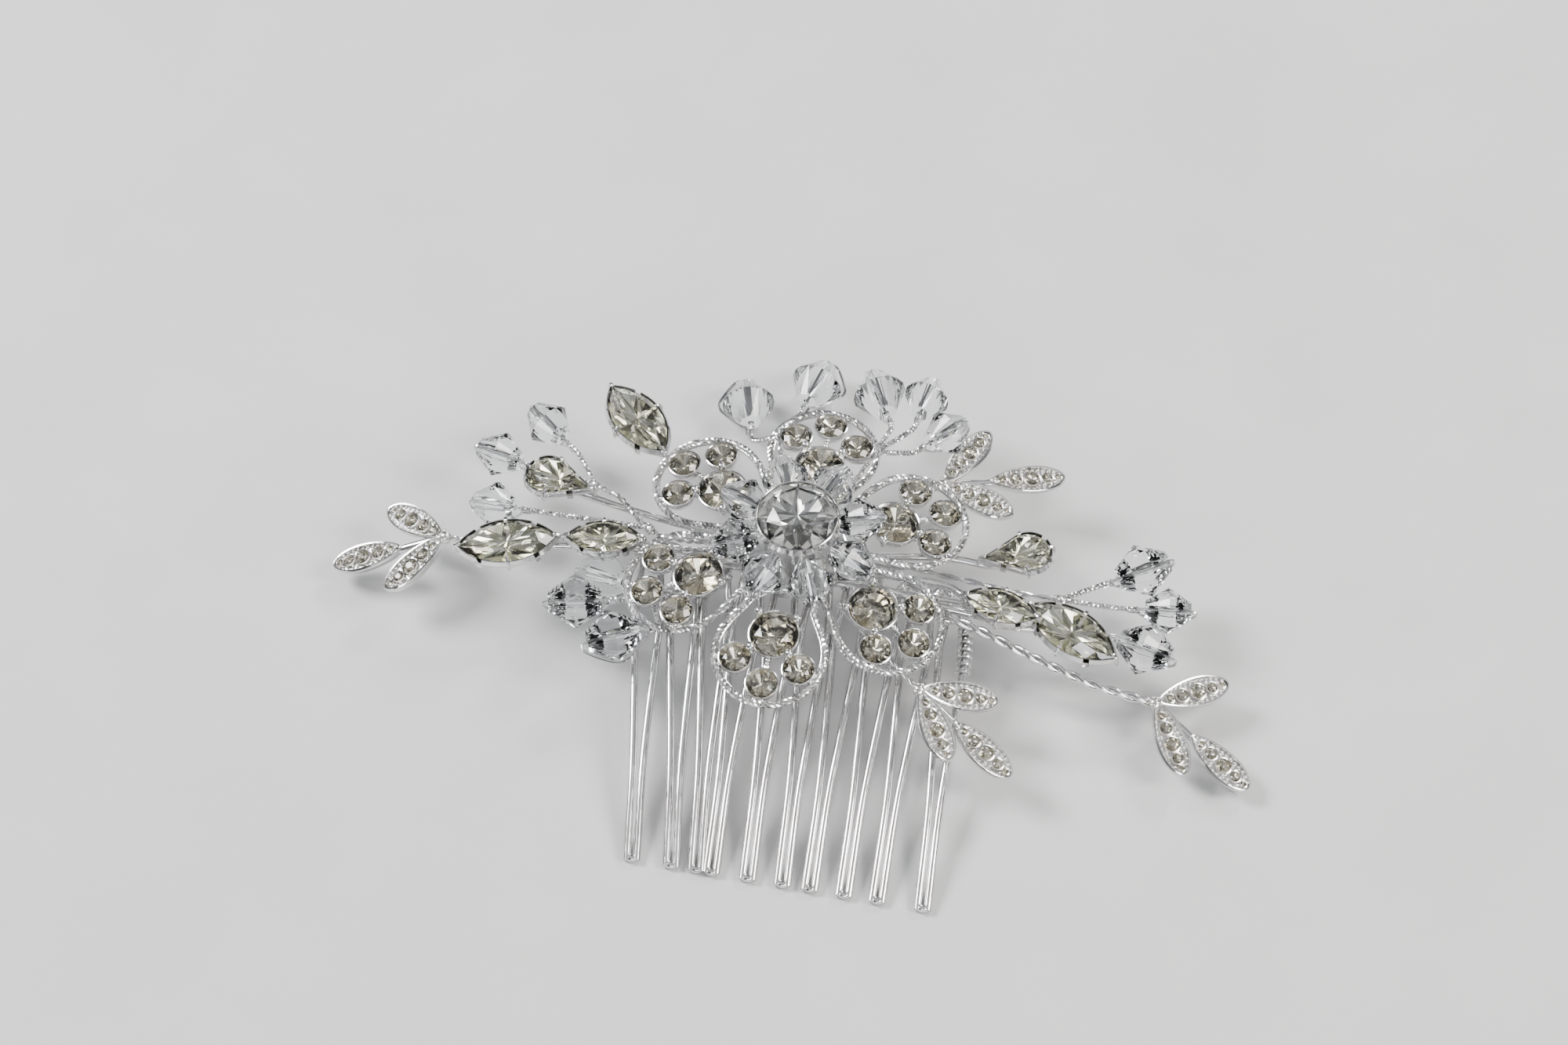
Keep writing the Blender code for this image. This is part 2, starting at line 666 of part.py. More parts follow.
def add_sprays():
    sizes = {"small": SMALL_BEAD_D, "large": LARGE_BEAD_D}
    for spray, plan in SPRAYS.items():
        fork = fork_place(spray)
        root_azimuth, root_r = plan["root"]
        way = [polar(root_azimuth, root_r * MM, STEM_RUN_Z)]
        way += [beyond(a, d * MM, z * MM) for a, d, z in plan["way"]]
        pieces = [knot("fork", fork, KNOT_D), tube("trunk", smooth_route([*way, fork], 2), TWIST_D)]
        for k, (size, _, bead_azimuth, pitch, side, leaves) in enumerate(plan["beads"]):
            place = bead_place(spray, k)
            axis = direction(bead_azimuth, pitch)
            add_bead(f"bead_{spray}_{k + 1}", sizes[size], place, axis)
            start = fork
            if leaves is not None:
                start = way[leaves + 1]
                pieces.append(knot("branch", start, KNOT_D))
            pieces.append(bead_wire(f"stalk_{k}", start, place, axis, sizes[size], side))
        add_object(f"spray_wire_{spray}", joined(f"spray_wire_{spray}", pieces), WIRE)


# ---------------------------------------------------------------- set stones


def marquise_outline(length, width, count=12):
    """The outline of a marquise: two equal arcs that meet in points on the X axis."""
    radius = (length**2 + width**2) / (4 * width)
    half_angle = math.asin(length / 2 / radius)
    points = []
    for side in (1, -1):
        for k in range(count // 2):
            angle = half_angle * (1 - 2 * k / (count // 2))
            bulge = radius * math.cos(angle) - radius + width / 2
            points.append(Vector((side * radius * math.sin(angle), side * bulge, 0)))
    return points


def teardrop_outline(length, width, count=12):
    """The outline of a teardrop, its point at -X and its round end at +X."""
    round_r = width / 2
    centre = length / 2 - round_r
    reach = length - round_r
    open_angle = math.acos(round_r / reach)
    sweep = 2 * (math.pi - open_angle)
    points = [Vector((-length / 2, 0, 0))]
    for k in range(count - 1):
        angle = -math.pi + open_angle + sweep * k / (count - 2)
        points.append(Vector((centre + round_r * math.cos(angle), round_r * math.sin(angle), 0)))
    return points


def leaf_outline(length, width, count=10):
    """A leaf from its stalk end at the origin to its tip at +X: widest nearer the stalk end."""
    points = []
    for k in range(count):
        angle = 2 * math.pi * k / count
        share = (1 - math.cos(angle)) / 2
        bulge = math.sin(angle) * (1 - 0.22 * math.cos(angle)) * (0.75 + 0.25 * abs(math.sin(angle)))
        points.append(Vector((length * share, -width / 2 * bulge, 0)))
    return points


def at_height(outline, z):
    return [Vector((p.x, p.y, z)) for p in outline]


def tray(name, shape, size, matrix):
    """A setting open at the top: its underside is z = 0."""
    length, width = size
    room, rim = 2 * GAP, 2 * (GAP + SETTING_WALL)
    rings = [
        at_height(shape(length * 0.72, width * 0.66), 0.0),
        at_height(shape(length + rim, width + rim), SETTING_DEPTH * 0.75),
        at_height(shape(length + rim, width + rim), SETTING_DEPTH),
        at_height(shape(length + room, width + room), SETTING_DEPTH),
        at_height(shape(length * 0.62, width * 0.52), SETTING_FLOOR),
    ]
    return loft(name, rings, matrix=matrix)


def add_stone(name, shape, size, matrix):
    """A faceted stone that sits in its tray with its girdle at the rim."""
    length, width = size
    rise = 0.22 * width
    rings = [
        at_height(shape(length * 0.5, width * 0.3), SETTING_FLOOR + 1.5 * GAP),
        at_height(shape(length, width), SETTING_DEPTH + 0.1 * MM),
        at_height(shape(length, width), SETTING_DEPTH + 0.3 * MM),
        at_height(shape(length * 0.62, width * 0.56), SETTING_DEPTH + 0.3 * MM + rise),
    ]
    return loft(name, rings, RHINESTONE, matrix)


# Each setting: outline, stone size, azimuth and distance of its centre, height of its underside, heading
# and pitch. The stem starts under the flower at its own azimuth and radius and is soldered along the tray.
SETTINGS = {
    "left": {
        "trays": [
            ("left_inner", "small_marquise", (175.2, 1.9), 9.2, 179.0, 0.0),
            ("left_outer", "large_marquise", (177.6, 14.0), 9.0, 185.0, -3.0),
        ],
        "root": (181.5, 7.0),
        "way": [(178.0, -8.0, 8.8)],
    },
    "back_left": {
        "trays": [("back_left", "large_marquise", (135.0, 6.4), 8.6, 124.0, -2.0)],
        "root": (134.0, 5.0),
        "way": [(134.0, -6.0, 8.75)],
    },
    "right_inner": {
        "trays": [("right_inner", "small_marquise", (-18.0, 4.0), 9.3, -19.0, -3.0)],
        "root": (-12.0, 8.2),
        "way": [(-12.0, -3.5, 8.8)],
    },
    "right_outer": {
        "trays": [("right_outer", "large_marquise", (-17.6, 13.3), 7.5, -36.0, -3.0)],
        "root": (-23.0, 8.0),
        "way": [(-21.2, -3.5, 8.8), (-19.0, 1.5, 7.9), (-18.9, 5.5, 7.5)],
        "solder": (-0.12, 0.3),
    },
    "left_drop": {
        "trays": [("left_drop", "teardrop", (159.9, 9.6), 8.9, 158.0, -2.0)],
        "root": (157.0, 6.0),
        "way": [(160.5, -2.0, 8.8)],
    },
    "right_drop": {
        "trays": [("right_drop", "teardrop", (-0.6, 5.0), 8.9, 10.0, 0.0)],
        "root": (4.0, 7.6),
        "way": [(0.8, -4.0, 8.8)],
    },
}
SHAPES = {
    "large_marquise": (marquise_outline, LARGE_MARQUISE),
    "small_marquise": (marquise_outline, SMALL_MARQUISE),
    "teardrop": (teardrop_outline, TEARDROP),
}


def add_settings():
    for name, plan in SETTINGS.items():
        azimuth, radius = plan["root"]
        route = [polar(azimuth, radius * MM, STEM_RUN_Z)]
        route += [beyond(a, d * MM, z * MM) for a, d, z in plan["way"]]
        trays = []
        for stone, kind, (at, out), height, heading, pitch in plan["trays"]:
            shape, size = SHAPES[kind]
            under = beyond(at, out * MM, height * MM)
            matrix = frame_along(under, heading, pitch)
            trays.append(tray(f"tray_{stone}", shape, size, matrix))
            add_stone(f"stone_{stone}", shape, size, matrix)
            for along in plan.get("solder", (-0.34, 0.22)):
                route.append(matrix @ Vector((size[0] * along, 0.0, -STEM_D * 0.25)))
        route = smooth_route(route, 2)
        stem = tube("stem", route, STEM_D)
        add_object(f"setting_{name}", joined(f"setting_{name}", [stem, *trays]), SILVER)


# ---------------------------------------------------------------- leaf sprigs

# Each sprig: azimuth and distance of its hub, height of its back, heading and pitch of its middle leaf, the
# angles of its two side leaves, its wire's width, and the wire's root and way points. The right sprig lies
# beside a bead of the right spray, and its hub is measured from that bead's girdle. The back sprig is
# soldered straight to its wire.
SPRIGS = {
    "left": {
        "hub": (174.8, 22.1, 7.0),
        "heading": 183.0,
        "pitch": -22.0,
        "sides": (35.0, -39.0),
        "wire": TWIST_D,
        "root": (173.6, 9.2),
        "way": [(173.0, -6.0, 8.7), (171.6, -1.0, 8.3), (172.4, 3.0, 8.2), (175.0, 13.5, 7.6)],
    },
    "right": {
        "beside": ("right", 2),
        "hub": (-83.15, 3.421, 4.1),
        "heading": -43.0,
        "pitch": -13.0,
        "sides": (62.0, -28.0),
        "wire": HEAVY_TWIST_D,
        "root": (-34.5, 8.6),
        "way": [(-26.5, -4.5, 8.6), (-23.9, 0.4, 8.4), (-24.9, 9.9, 7.5), (-24.6, 18.5, 6.3)],
    },
    "front": {
        "hub": (-51.4, 1.3, 7.5),
        "heading": -44.0,
        "pitch": -12.0,
        "sides": (38.0, -25.0),
        "wire": TWIST_D,
        "root": (-52.0, 8.4),
        "way": [(-52.0, -8.0, 8.7)],
    },
    "back": {
        "hub": (33.0, -0.2, 6.6),
        "heading": 3.0,
        "pitch": 0.0,
        "sides": (49.0, -32.0),
        "wire": TWIST_D,
        "root": (30.0, 8.4),
        "way": [(31.0, -7.0, 8.6)],
    },
}
SOLDERED_SPRIG = "back"


def leaf(name, matrix):
    rim = 2 * LEAF_RIM
    back = leaf_outline(LEAF_LENGTH * 0.88, LEAF_WIDTH * 0.72)
    shift = Vector((LEAF_LENGTH * 0.06, 0.0, 0.0))
    inner = [p + Vector((LEAF_RIM, 0.0, 0.0)) for p in leaf_outline(LEAF_LENGTH - rim, LEAF_WIDTH - rim)]
    rings = [
        [p + shift for p in at_height(back, 0.0)],
        at_height(leaf_outline(LEAF_LENGTH, LEAF_WIDTH), LEAF_THICK * 0.7),
        at_height(leaf_outline(LEAF_LENGTH, LEAF_WIDTH), LEAF_THICK),
        at_height(inner, LEAF_THICK),
        at_height(inner, LEAF_THICK - LEAF_RECESS),
    ]
    return loft(name, rings, matrix=matrix)


def hub_place(plan):
    azimuth, distance, height = plan["hub"]
    if "beside" not in plan:
        return beyond(azimuth, distance * MM, height * MM)
    hub = bead_place(*plan["beside"]) + polar(azimuth, LARGE_BEAD_D / 2 + distance * MM)
    hub.z = height * MM
    return hub


def add_sprigs():
    for name, plan in SPRIGS.items():
        hub = hub_place(plan)
        frame = frame_along(hub, plan["heading"], plan["pitch"])
        middle = LEAF_THICK / 2
        knot_r = STALK_D * 0.75
        tip_leaf = leaf("leaf_tip", frame @ Matrix.Translation((STALK_LENGTH, 0, 0)))
        leaves = [tip_leaf]
        for k, angle in enumerate(plan["sides"]):
            swing = Matrix.Rotation(math.radians(angle), 4, "Z")
            leaves.append(leaf(f"leaf_{k}", frame @ swing @ Matrix.Translation((0.3 * MM, 0, 0))))
        ends = [Vector((-knot_r * 0.4, 0, middle)), Vector((STALK_LENGTH + 0.8 * MM, 0, middle))]
        stalk = tube("stalk", [frame @ end for end in ends], STALK_D)
        centre = frame @ Vector((0, 0, middle))
        hub_knot = knot("hub", centre, 2 * knot_r)
        root_azimuth, root_r = plan["root"]
        way = [polar(root_azimuth, root_r * MM, STEM_RUN_Z)]
        way += [beyond(a, d * MM, z * MM) for a, d, z in plan["way"]]
        soldered = name == SOLDERED_SPRIG
        last = (centre - way[-1]).normalized()
        end = centre if soldered else centre - last * (knot_r + GAP)
        wire_route = smooth_route([*way, end], 2)
        pieces = [stalk, hub_knot, *leaves]
        if soldered:
            pieces.append(tube("wire", wire_route, plan["wire"]))
        else:
            tube(f"sprig_wire_{name}", wire_route, plan["wire"], WIRE)
        add_object(f"leaf_sprig_{name}", joined(f"leaf_sprig_{name}", pieces), SILVER)


# ---------------------------------------------------------------- the whole comb


def stand_on_table():
    """Moves the comb so that the bottom centre of its box is the origin."""
    bpy.context.view_layer.update()
    graph = bpy.context.evaluated_depsgraph_get()
    corners = []
    for obj in ROOT.children:
        shown = obj.evaluated_get(graph)
        mesh = shown.to_mesh()
        corners += [shown.matrix_world @ v.co for v in mesh.vertices]
        shown.to_mesh_clear()
    low = Vector([min(c[k] for c in corners) for k in range(3)])
    high = Vector([max(c[k] for c in corners) for k in range(3)])
    ROOT.location = (-(low.x + high.x) / 2, -(low.y + high.y) / 2, -low.z)
    bpy.context.view_layer.update()


def main():
    add_comb()
    add_base()
    add_petals()
    add_centre_beads()
    add_centre_cup()
    add_centre_stone()
    add_sprays()
    add_settings()
    add_sprigs()
    stand_on_table()


main()
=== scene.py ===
"""The looks of the wired bridal hair comb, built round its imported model.

Every piece is made in the flower's own frame (its axis is x = y = 0, the table is z = 0) from the comb's own
sizes and places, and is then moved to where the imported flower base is.
"""

from math import acos, asin, cos, degrees, hypot, pi, radians, sin, tan

import bmesh
import bpy
from mathutils import Matrix, Vector


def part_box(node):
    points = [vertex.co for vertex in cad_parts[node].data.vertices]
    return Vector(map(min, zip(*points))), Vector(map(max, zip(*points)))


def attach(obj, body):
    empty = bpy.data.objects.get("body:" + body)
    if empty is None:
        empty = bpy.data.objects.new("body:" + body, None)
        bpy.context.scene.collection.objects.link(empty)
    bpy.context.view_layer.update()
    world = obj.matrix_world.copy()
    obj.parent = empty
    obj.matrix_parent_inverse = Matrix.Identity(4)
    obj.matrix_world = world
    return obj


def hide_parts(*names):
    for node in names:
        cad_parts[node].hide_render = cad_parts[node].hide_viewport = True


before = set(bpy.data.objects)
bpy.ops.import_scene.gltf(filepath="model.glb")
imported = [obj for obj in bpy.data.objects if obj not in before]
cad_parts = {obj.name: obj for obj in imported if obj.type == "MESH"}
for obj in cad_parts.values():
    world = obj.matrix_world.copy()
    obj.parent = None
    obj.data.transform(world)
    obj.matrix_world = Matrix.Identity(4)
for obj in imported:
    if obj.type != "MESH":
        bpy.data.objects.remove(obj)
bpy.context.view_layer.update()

MM = 0.001
UP = Vector((0.0, 0.0, 1.0))

# -------- the comb's sizes, as the model has them

GAP = 0.15 * MM

COMB_WIRE_D = 1.0 * MM
TOOTH_COUNT = 10
LEG_PITCH = 2.2 * MM
TIP_PITCH = 4.04 * MM
TOOTH_LENGTH = 40.0 * MM
TOOTH_SINK = 5.6 * MM
TIP_SLIT = 0.25 * MM
SHOULDER_ALONG = 7.0 * MM
CLOSED_SHARE = 0.74
RAIL_D = 1.0 * MM
RAIL_OVERHANG = 0.8 * MM
LASHING_D = 0.4 * MM
LEG_WRAP_TURNS = 8
LEG_WRAP_PITCH = 2.6 * LASHING_D
COMB_YAW = -11.0
COMB_LEAN = 4.2 * MM
RAIL_CENTRE = (0.9 * MM, -1.6 * MM)
TIP_DRIFT = [0.0, 0.9, 0.0, -2.1, -1.6, -1.3, -1.9, -1.7, -1.6, 0.0]

FLOWER_HEIGHT = 9.5 * MM
BASE_D = 13.0 * MM
BASE_THICK = 1.9 * MM
POST_D = 1.6 * MM
RIVET_D = 3.2 * MM
RIVET_THICK = 0.45 * MM
PETAL_COUNT = 6
FIRST_PETAL = 17.0
PETAL_DROP = 2.2825 * MM
PETAL_ROOT = 6.0 * MM
PETAL_RING_R = 6.9 * MM
PETAL_CLEARANCE = 0.375 * MM
ROPE_D = 0.95 * MM
ROPE_LAY = 2.7 * MM
BIG_CHATON_X = -2.5 * MM
SMALL_CHATONS = (0.0, 69.0, -69.0)
BIG_CHATON_D = 6.2 * MM
SMALL_CHATON_D = 4.0 * MM
CUP_WALL = 0.25 * MM
BIG_CUP_DEPTH = 1.0 * MM
SMALL_CUP_DEPTH = 0.7 * MM

CENTRE_BEAD_COUNT = 8
CENTRE_BEAD_TURN = 11.0
CENTRE_BEAD_TILT = 5.0
SPIDER_HUB_D = 5.6 * MM
SPIDER_HUB_THICK = 1.0 * MM
CENTRE_STONE_D = 9.8 * MM
CENTRE_CUP_DEPTH = 1.6 * MM

SMALL_BEAD_D = 6.0 * MM
LARGE_BEAD_D = 7.0 * MM
BEAD_HOLE_D = 1.1 * MM
BEAD_END_SHARE = 0.4
BEAD_LENGTH_SHARE = 0.97
BEAD_SIDES = 8

STRAND_D = 0.4 * MM
TWIST_D = 0.8 * MM
KNOT_D = 1.3 * MM
STEM_D = 1.0 * MM
HEAVY_TWIST_D = 1.4 * MM
STEM_RUN_Z = 8.8 * MM
UNDER_STEMS_Z = 8.92

LARGE_MARQUISE = (12.7 * MM, 6.2 * MM)
SMALL_MARQUISE = (9.5 * MM, 4.6 * MM)
TEARDROP = (8.9 * MM, 5.5 * MM)
SETTING_DEPTH = 1.7 * MM
SETTING_WALL = 0.3 * MM
SETTING_FLOOR = 0.35 * MM

LEAF_LENGTH = 9.8 * MM
LEAF_WIDTH = 3.9 * MM
LEAF_THICK = 1.6 * MM
LEAF_RIM = 0.35 * MM
LEAF_RECESS = 0.55 * MM
STALK_LENGTH = 6.0 * MM
STALK_D = 1.1 * MM

COMB_R = COMB_WIRE_D / 2
TIP_BEND_R = (COMB_WIRE_D + TIP_SLIT) / 2
ROPE_R = ROPE_D / 2
LASHING_TOP = STEM_RUN_Z - STEM_D / 2 - GAP
RAIL_Z = LASHING_TOP - LASHING_D - GAP - RAIL_D / 2
COMB_Z = RAIL_Z - RAIL_D / 2 - GAP - COMB_R
BASE_Z = max(FLOWER_HEIGHT, STEM_RUN_Z + STEM_D / 2 + GAP)
BASE_TOP = BASE_Z + BASE_THICK
PETAL_Z = BASE_TOP + GAP + ROPE_R
PETAL_REACH = (PETAL_RING_R + ROPE_R + PETAL_CLEARANCE) / sin(pi / PETAL_COUNT)
PETAL_RUN = PETAL_REACH - PETAL_ROOT
PETAL_TILT = degrees(asin(PETAL_DROP / (PETAL_RUN + PETAL_RING_R)))
FLOWER_R = PETAL_ROOT + (PETAL_RUN + PETAL_RING_R + ROPE_R) * cos(radians(PETAL_TILT))
BEAD_RING_R = (SMALL_BEAD_D + GAP) / 2 / sin(pi / CENTRE_BEAD_COUNT)
BEAD_RING_Z = PETAL_Z + ROPE_R + GAP + SMALL_BEAD_D / 2
HUB_Z = BEAD_RING_Z + BEAD_RING_R * sin(radians(CENTRE_BEAD_TILT))
CUP_FLOOR_Z = HUB_Z + SPIDER_HUB_THICK / 2 + GAP

# Where the flower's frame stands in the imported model: the flower base tells it.
BASE_LOW, BASE_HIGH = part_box("flower_base")
ORIGIN = Vector(((BASE_LOW.x + BASE_HIGH.x) / 2, (BASE_LOW.y + BASE_HIGH.y) / 2, BASE_LOW.z - BASE_Z))

# -------- materials


def fill(node, values):
    for socket, value in values.items():
        node.inputs[socket].default_value = value


def principled(name, values):
    made = bpy.data.materials.new(name)
    made.use_nodes = True
    shader = made.node_tree.nodes["Principled BSDF"]
    fill(shader, values)
    return made, made.node_tree, shader


def noise(tree, scale, detail):
    """A noise in the model's own coordinates. The scale is in features per metre."""
    place = tree.nodes.new("ShaderNodeTexCoord")
    made = tree.nodes.new("ShaderNodeTexNoise")
    fill(made, {"Scale": scale, "Detail": detail, "Roughness": 0.55})
    tree.links.new(place.outputs["Object"], made.inputs["Vector"])
    return made.outputs["Fac"]


def ramp(tree, source, stops):
    """The source's values turned into colours. A stop is a value and its colour."""
    made = tree.nodes.new("ShaderNodeValToRGB")
    while len(made.color_ramp.elements) < len(stops):
        made.color_ramp.elements.new(0.5)
    for element, (value, colour) in zip(made.color_ramp.elements, stops):
        element.position = value
        element.color = (*colour, 1.0)
    tree.links.new(source, made.inputs["Fac"])
    return made.outputs["Color"]


def grey(value):
    return (value, value, value)


def drift(tree, shader, socket, scale, detail, stops):
    """Lets a socket of the shader follow a noise."""
    tree.links.new(ramp(tree, noise(tree, scale, detail), stops), shader.inputs[socket])


def bump(tree, shader, scale, height):
    source = noise(tree, scale, 4.0)
    made = tree.nodes.new("ShaderNodeBump")
    fill(made, {"Strength": 0.5, "Distance": height})
    tree.links.new(source, made.inputs["Height"])
    tree.links.new(made.outputs["Normal"], shader.inputs["Normal"])


def metal(name, dark, light, smooth, rough, grain, height):
    """Bright plating: its tone drifts a little, and it is duller in patches where it has been handled."""
    made, tree, shader = principled(name, {"Metallic": 1.0})
    drift(tree, shader, "Base Color", 260.0, 3.0, [(0.32, dark), (0.68, light)])
    drift(tree, shader, "Roughness", 700.0, 5.0, [(0.35, grey(smooth)), (0.75, grey(rough))])
    bump(tree, shader, grain, height)
    return made


def foil(name, rough, low, high):
    """The mirrored back of a stone, whose tint drifts between two colours."""
    made, tree, shader = principled(name, {"Metallic": 1.0, "Roughness": rough})
    drift(tree, shader, "Base Color", 850.0, 1.0, [(0.35, low), (0.65, high)])
    return made


def foils(tint, *tones):
    """One foil each for a stone's palest, middle and darkest facets: lit and shaded copies of one foil, which
    paint highlight and shade on the facets.
    """
    names = (f"{tint}_foil_painted_highlight", f"{tint}_foil", f"{tint}_foil_painted_shade")
    return [foil(name, *tone) for name, tone in zip(names, tones)]


def crystal(name, dark, light, ior):
    """Clear cut glass with a faint drift of tint."""
    made, tree, shader = principled(name, {"Transmission Weight": 1.0, "IOR": ior, "Roughness": 0.0})
    drift(tree, shader, "Base Color", 300.0, 1.0, [(0.3, dark), (0.7, light)])
    return made


PLATE = metal("plated_casting", (0.66, 0.65, 0.63), (0.88, 0.88, 0.89), 0.10, 0.26, 2600.0, 0.02 * MM)
ROPE = metal("plated_rope", (0.60, 0.59, 0.57), (0.92, 0.92, 0.93), 0.12, 0.30, 3500.0, 0.02 * MM)
PAVE = metal("plated_granules", (0.60, 0.58, 0.53), (0.92, 0.91, 0.89), 0.16, 0.36, 4200.0, 0.05 * MM)
WIRE = metal("silver_craft_wire", (0.62, 0.61, 0.60), (0.86, 0.86, 0.87), 0.12, 0.26, 1800.0, 0.012 * MM)
COMB_WIRE = metal("nickel_comb_wire", (0.58, 0.57, 0.56), (0.84, 0.84, 0.85), 0.10, 0.22, 900.0, 0.012 * MM)
CLEAR = crystal("clear_crystal_glass", (0.93, 0.955, 0.97), (0.99, 1.0, 1.0), 1.55)
STONE = crystal("champagne_stone_glass", (0.93, 0.91, 0.82), (0.99, 0.985, 0.94), 1.58)
CENTRE_GLASS = crystal("centre_stone_glass", (0.93, 0.94, 0.93), (0.99, 0.99, 0.985), 1.58)
# Each foil comes as a pale, a middle and a deep copy of one colour: painted highlight and painted shade for
# the stones' facets.
CHAMPAGNE = foils(
    "champagne",
    (0.10, (0.97, 0.94, 0.87), (0.99, 0.98, 0.94)),
    (0.08, (0.82, 0.78, 0.68), (0.92, 0.89, 0.81)),
    (0.06, (0.56, 0.52, 0.42), (0.70, 0.66, 0.56)),
)
LEMON = foils(
    "lemon",
    (0.12, (0.98, 0.98, 0.90), (0.99, 0.99, 0.95)),
    (0.10, (0.91, 0.91, 0.76), (0.96, 0.96, 0.87)),
    (0.08, (0.74, 0.74, 0.56), (0.85, 0.85, 0.70)),
)
SILVER_FOIL = foils(
    "silver",
    (0.12, (0.96, 0.96, 0.95), (0.99, 0.99, 0.98)),
    (0.10, (0.84, 0.84, 0.82), (0.92, 0.92, 0.90)),
    (0.08, (0.66, 0.65, 0.61), (0.76, 0.75, 0.71)),
)

# -------- places and paths


def polar(azimuth, radius, z=0.0):
    angle = radians(azimuth)
    return Vector((radius * cos(angle), radius * sin(angle), z))


def direction(azimuth, pitch=0.0):
    rise = radians(pitch)
    return polar(azimuth, cos(rise), sin(rise))


def turned(angle, axis):
    return Matrix.Rotation(radians(angle), 4, axis)


def frame_along(place, azimuth, pitch=0.0):
    return Matrix.Translation(place) @ turned(azimuth, "Z") @ turned(-pitch, "Y")


def frame_on(place, axis):
    """A frame whose Z runs along the axis."""
    return Matrix.Translation(place) @ axis.to_track_quat("Z", "Y").to_matrix().to_4x4()


def beyond(azimuth, distance, z):
    """A place outside the flower, its distance measured from the flower's edge."""
    return polar(azimuth, FLOWER_R + distance, z)


def stem_way(plan):
    """A stem's way points: its root under the flower, then those beyond the flower's edge."""
    azimuth, radius = plan["root"]
    outside = [beyond(turn, distance * MM, height * MM) for turn, distance, height in plan["way"]]
    return [polar(azimuth, radius * MM, STEM_RUN_Z), *outside]


def smooth_route(points, per_span):
    """Points along a Catmull-Rom curve through the given ones, per_span to each span."""
    nodes = [Vector(p) for p in points]
    ends = [2 * nodes[0] - nodes[1], *nodes, 2 * nodes[-1] - nodes[-2]]
    route = []
    for before, start, end, after in zip(ends, ends[1:], ends[2:], ends[3:]):
        square = 2 * before - 5 * start + 4 * end - after
        cube = 3 * start - before - 3 * end + after
        for step in range(per_span):
            share = step / per_span
            bend = square * share**2 + cube * share**3
            route.append(start + ((end - before) * share + bend) / 2)
    return [*route, nodes[-1]]


def along_route(points, distance):
    for a, b in zip(points, points[1:]):
        length = (b - a).length
        if distance <= length:
            return a.lerp(b, distance / length)
        distance -= length
    return points[-1]


def evenly(points, step):
    """The route again, with its points an even step apart."""
    total = sum((b - a).length for a, b in zip(points, points[1:]))
    count = max(2, round(total / step))
    stride = total / count
    made = [points[0].copy()]
    here, passed, need = points[0], 0, stride
    while len(made) < count and passed < len(points) - 1:
        ahead = points[passed + 1]
        span = (ahead - here).length
        if span >= need and span > 0:
            here = here.lerp(ahead, need / span)
            made.append(here.copy())
            need = stride
        else:
            need -= span
            here = ahead
            passed += 1
    return [*made, points[-1].copy()]


def frames_on(path):
    """A tangent and two normals at each point, carried along the path without twisting."""
    last = len(path) - 1
    tangents = [(path[min(i + 1, last)] - path[max(i - 1, 0)]).normalized() for i in range(len(path))]
    side = tangents[0].orthogonal().normalized()
    made = []
    for tangent in tangents:
        side = (side - tangent * side.dot(tangent)).normalized()
        made.append((tangent, side, tangent.cross(side)))
    return made


# -------- shapes

# A wire's rounded end: how far out each of its rings is and how wide, as shares of the dome's and the wire's.
DOME = [(0.55, 0.83), (0.85, 0.5)]
DOME_HEIGHT = 0.6
# How wide each strand is in a twist of so many strands, as a share of the twist's width.
STRAND_SHARE = {2: 0.5, 4: 0.414}


def around(sides):
    """The cosine and sine of each corner of a ring."""
    angles = [2 * pi * k / sides for k in range(sides)]
    return [(cos(angle), sin(angle)) for angle in angles]


def bands(rings):
    """The faces between rings of corners. A ring with one corner is a tip."""
    faces = []
    for low, high in zip(rings, rings[1:]):
        count = max(len(low), len(high))
        for k in range(count):
            after = (k + 1) % count
            if len(low) == 1:
                faces.append([low[0], high[after], high[k]])
            elif len(high) == 1:
                faces.append([low[k], low[after], high[0]])
            else:
                faces.append([low[k], low[after], high[after], high[k]])
    return faces


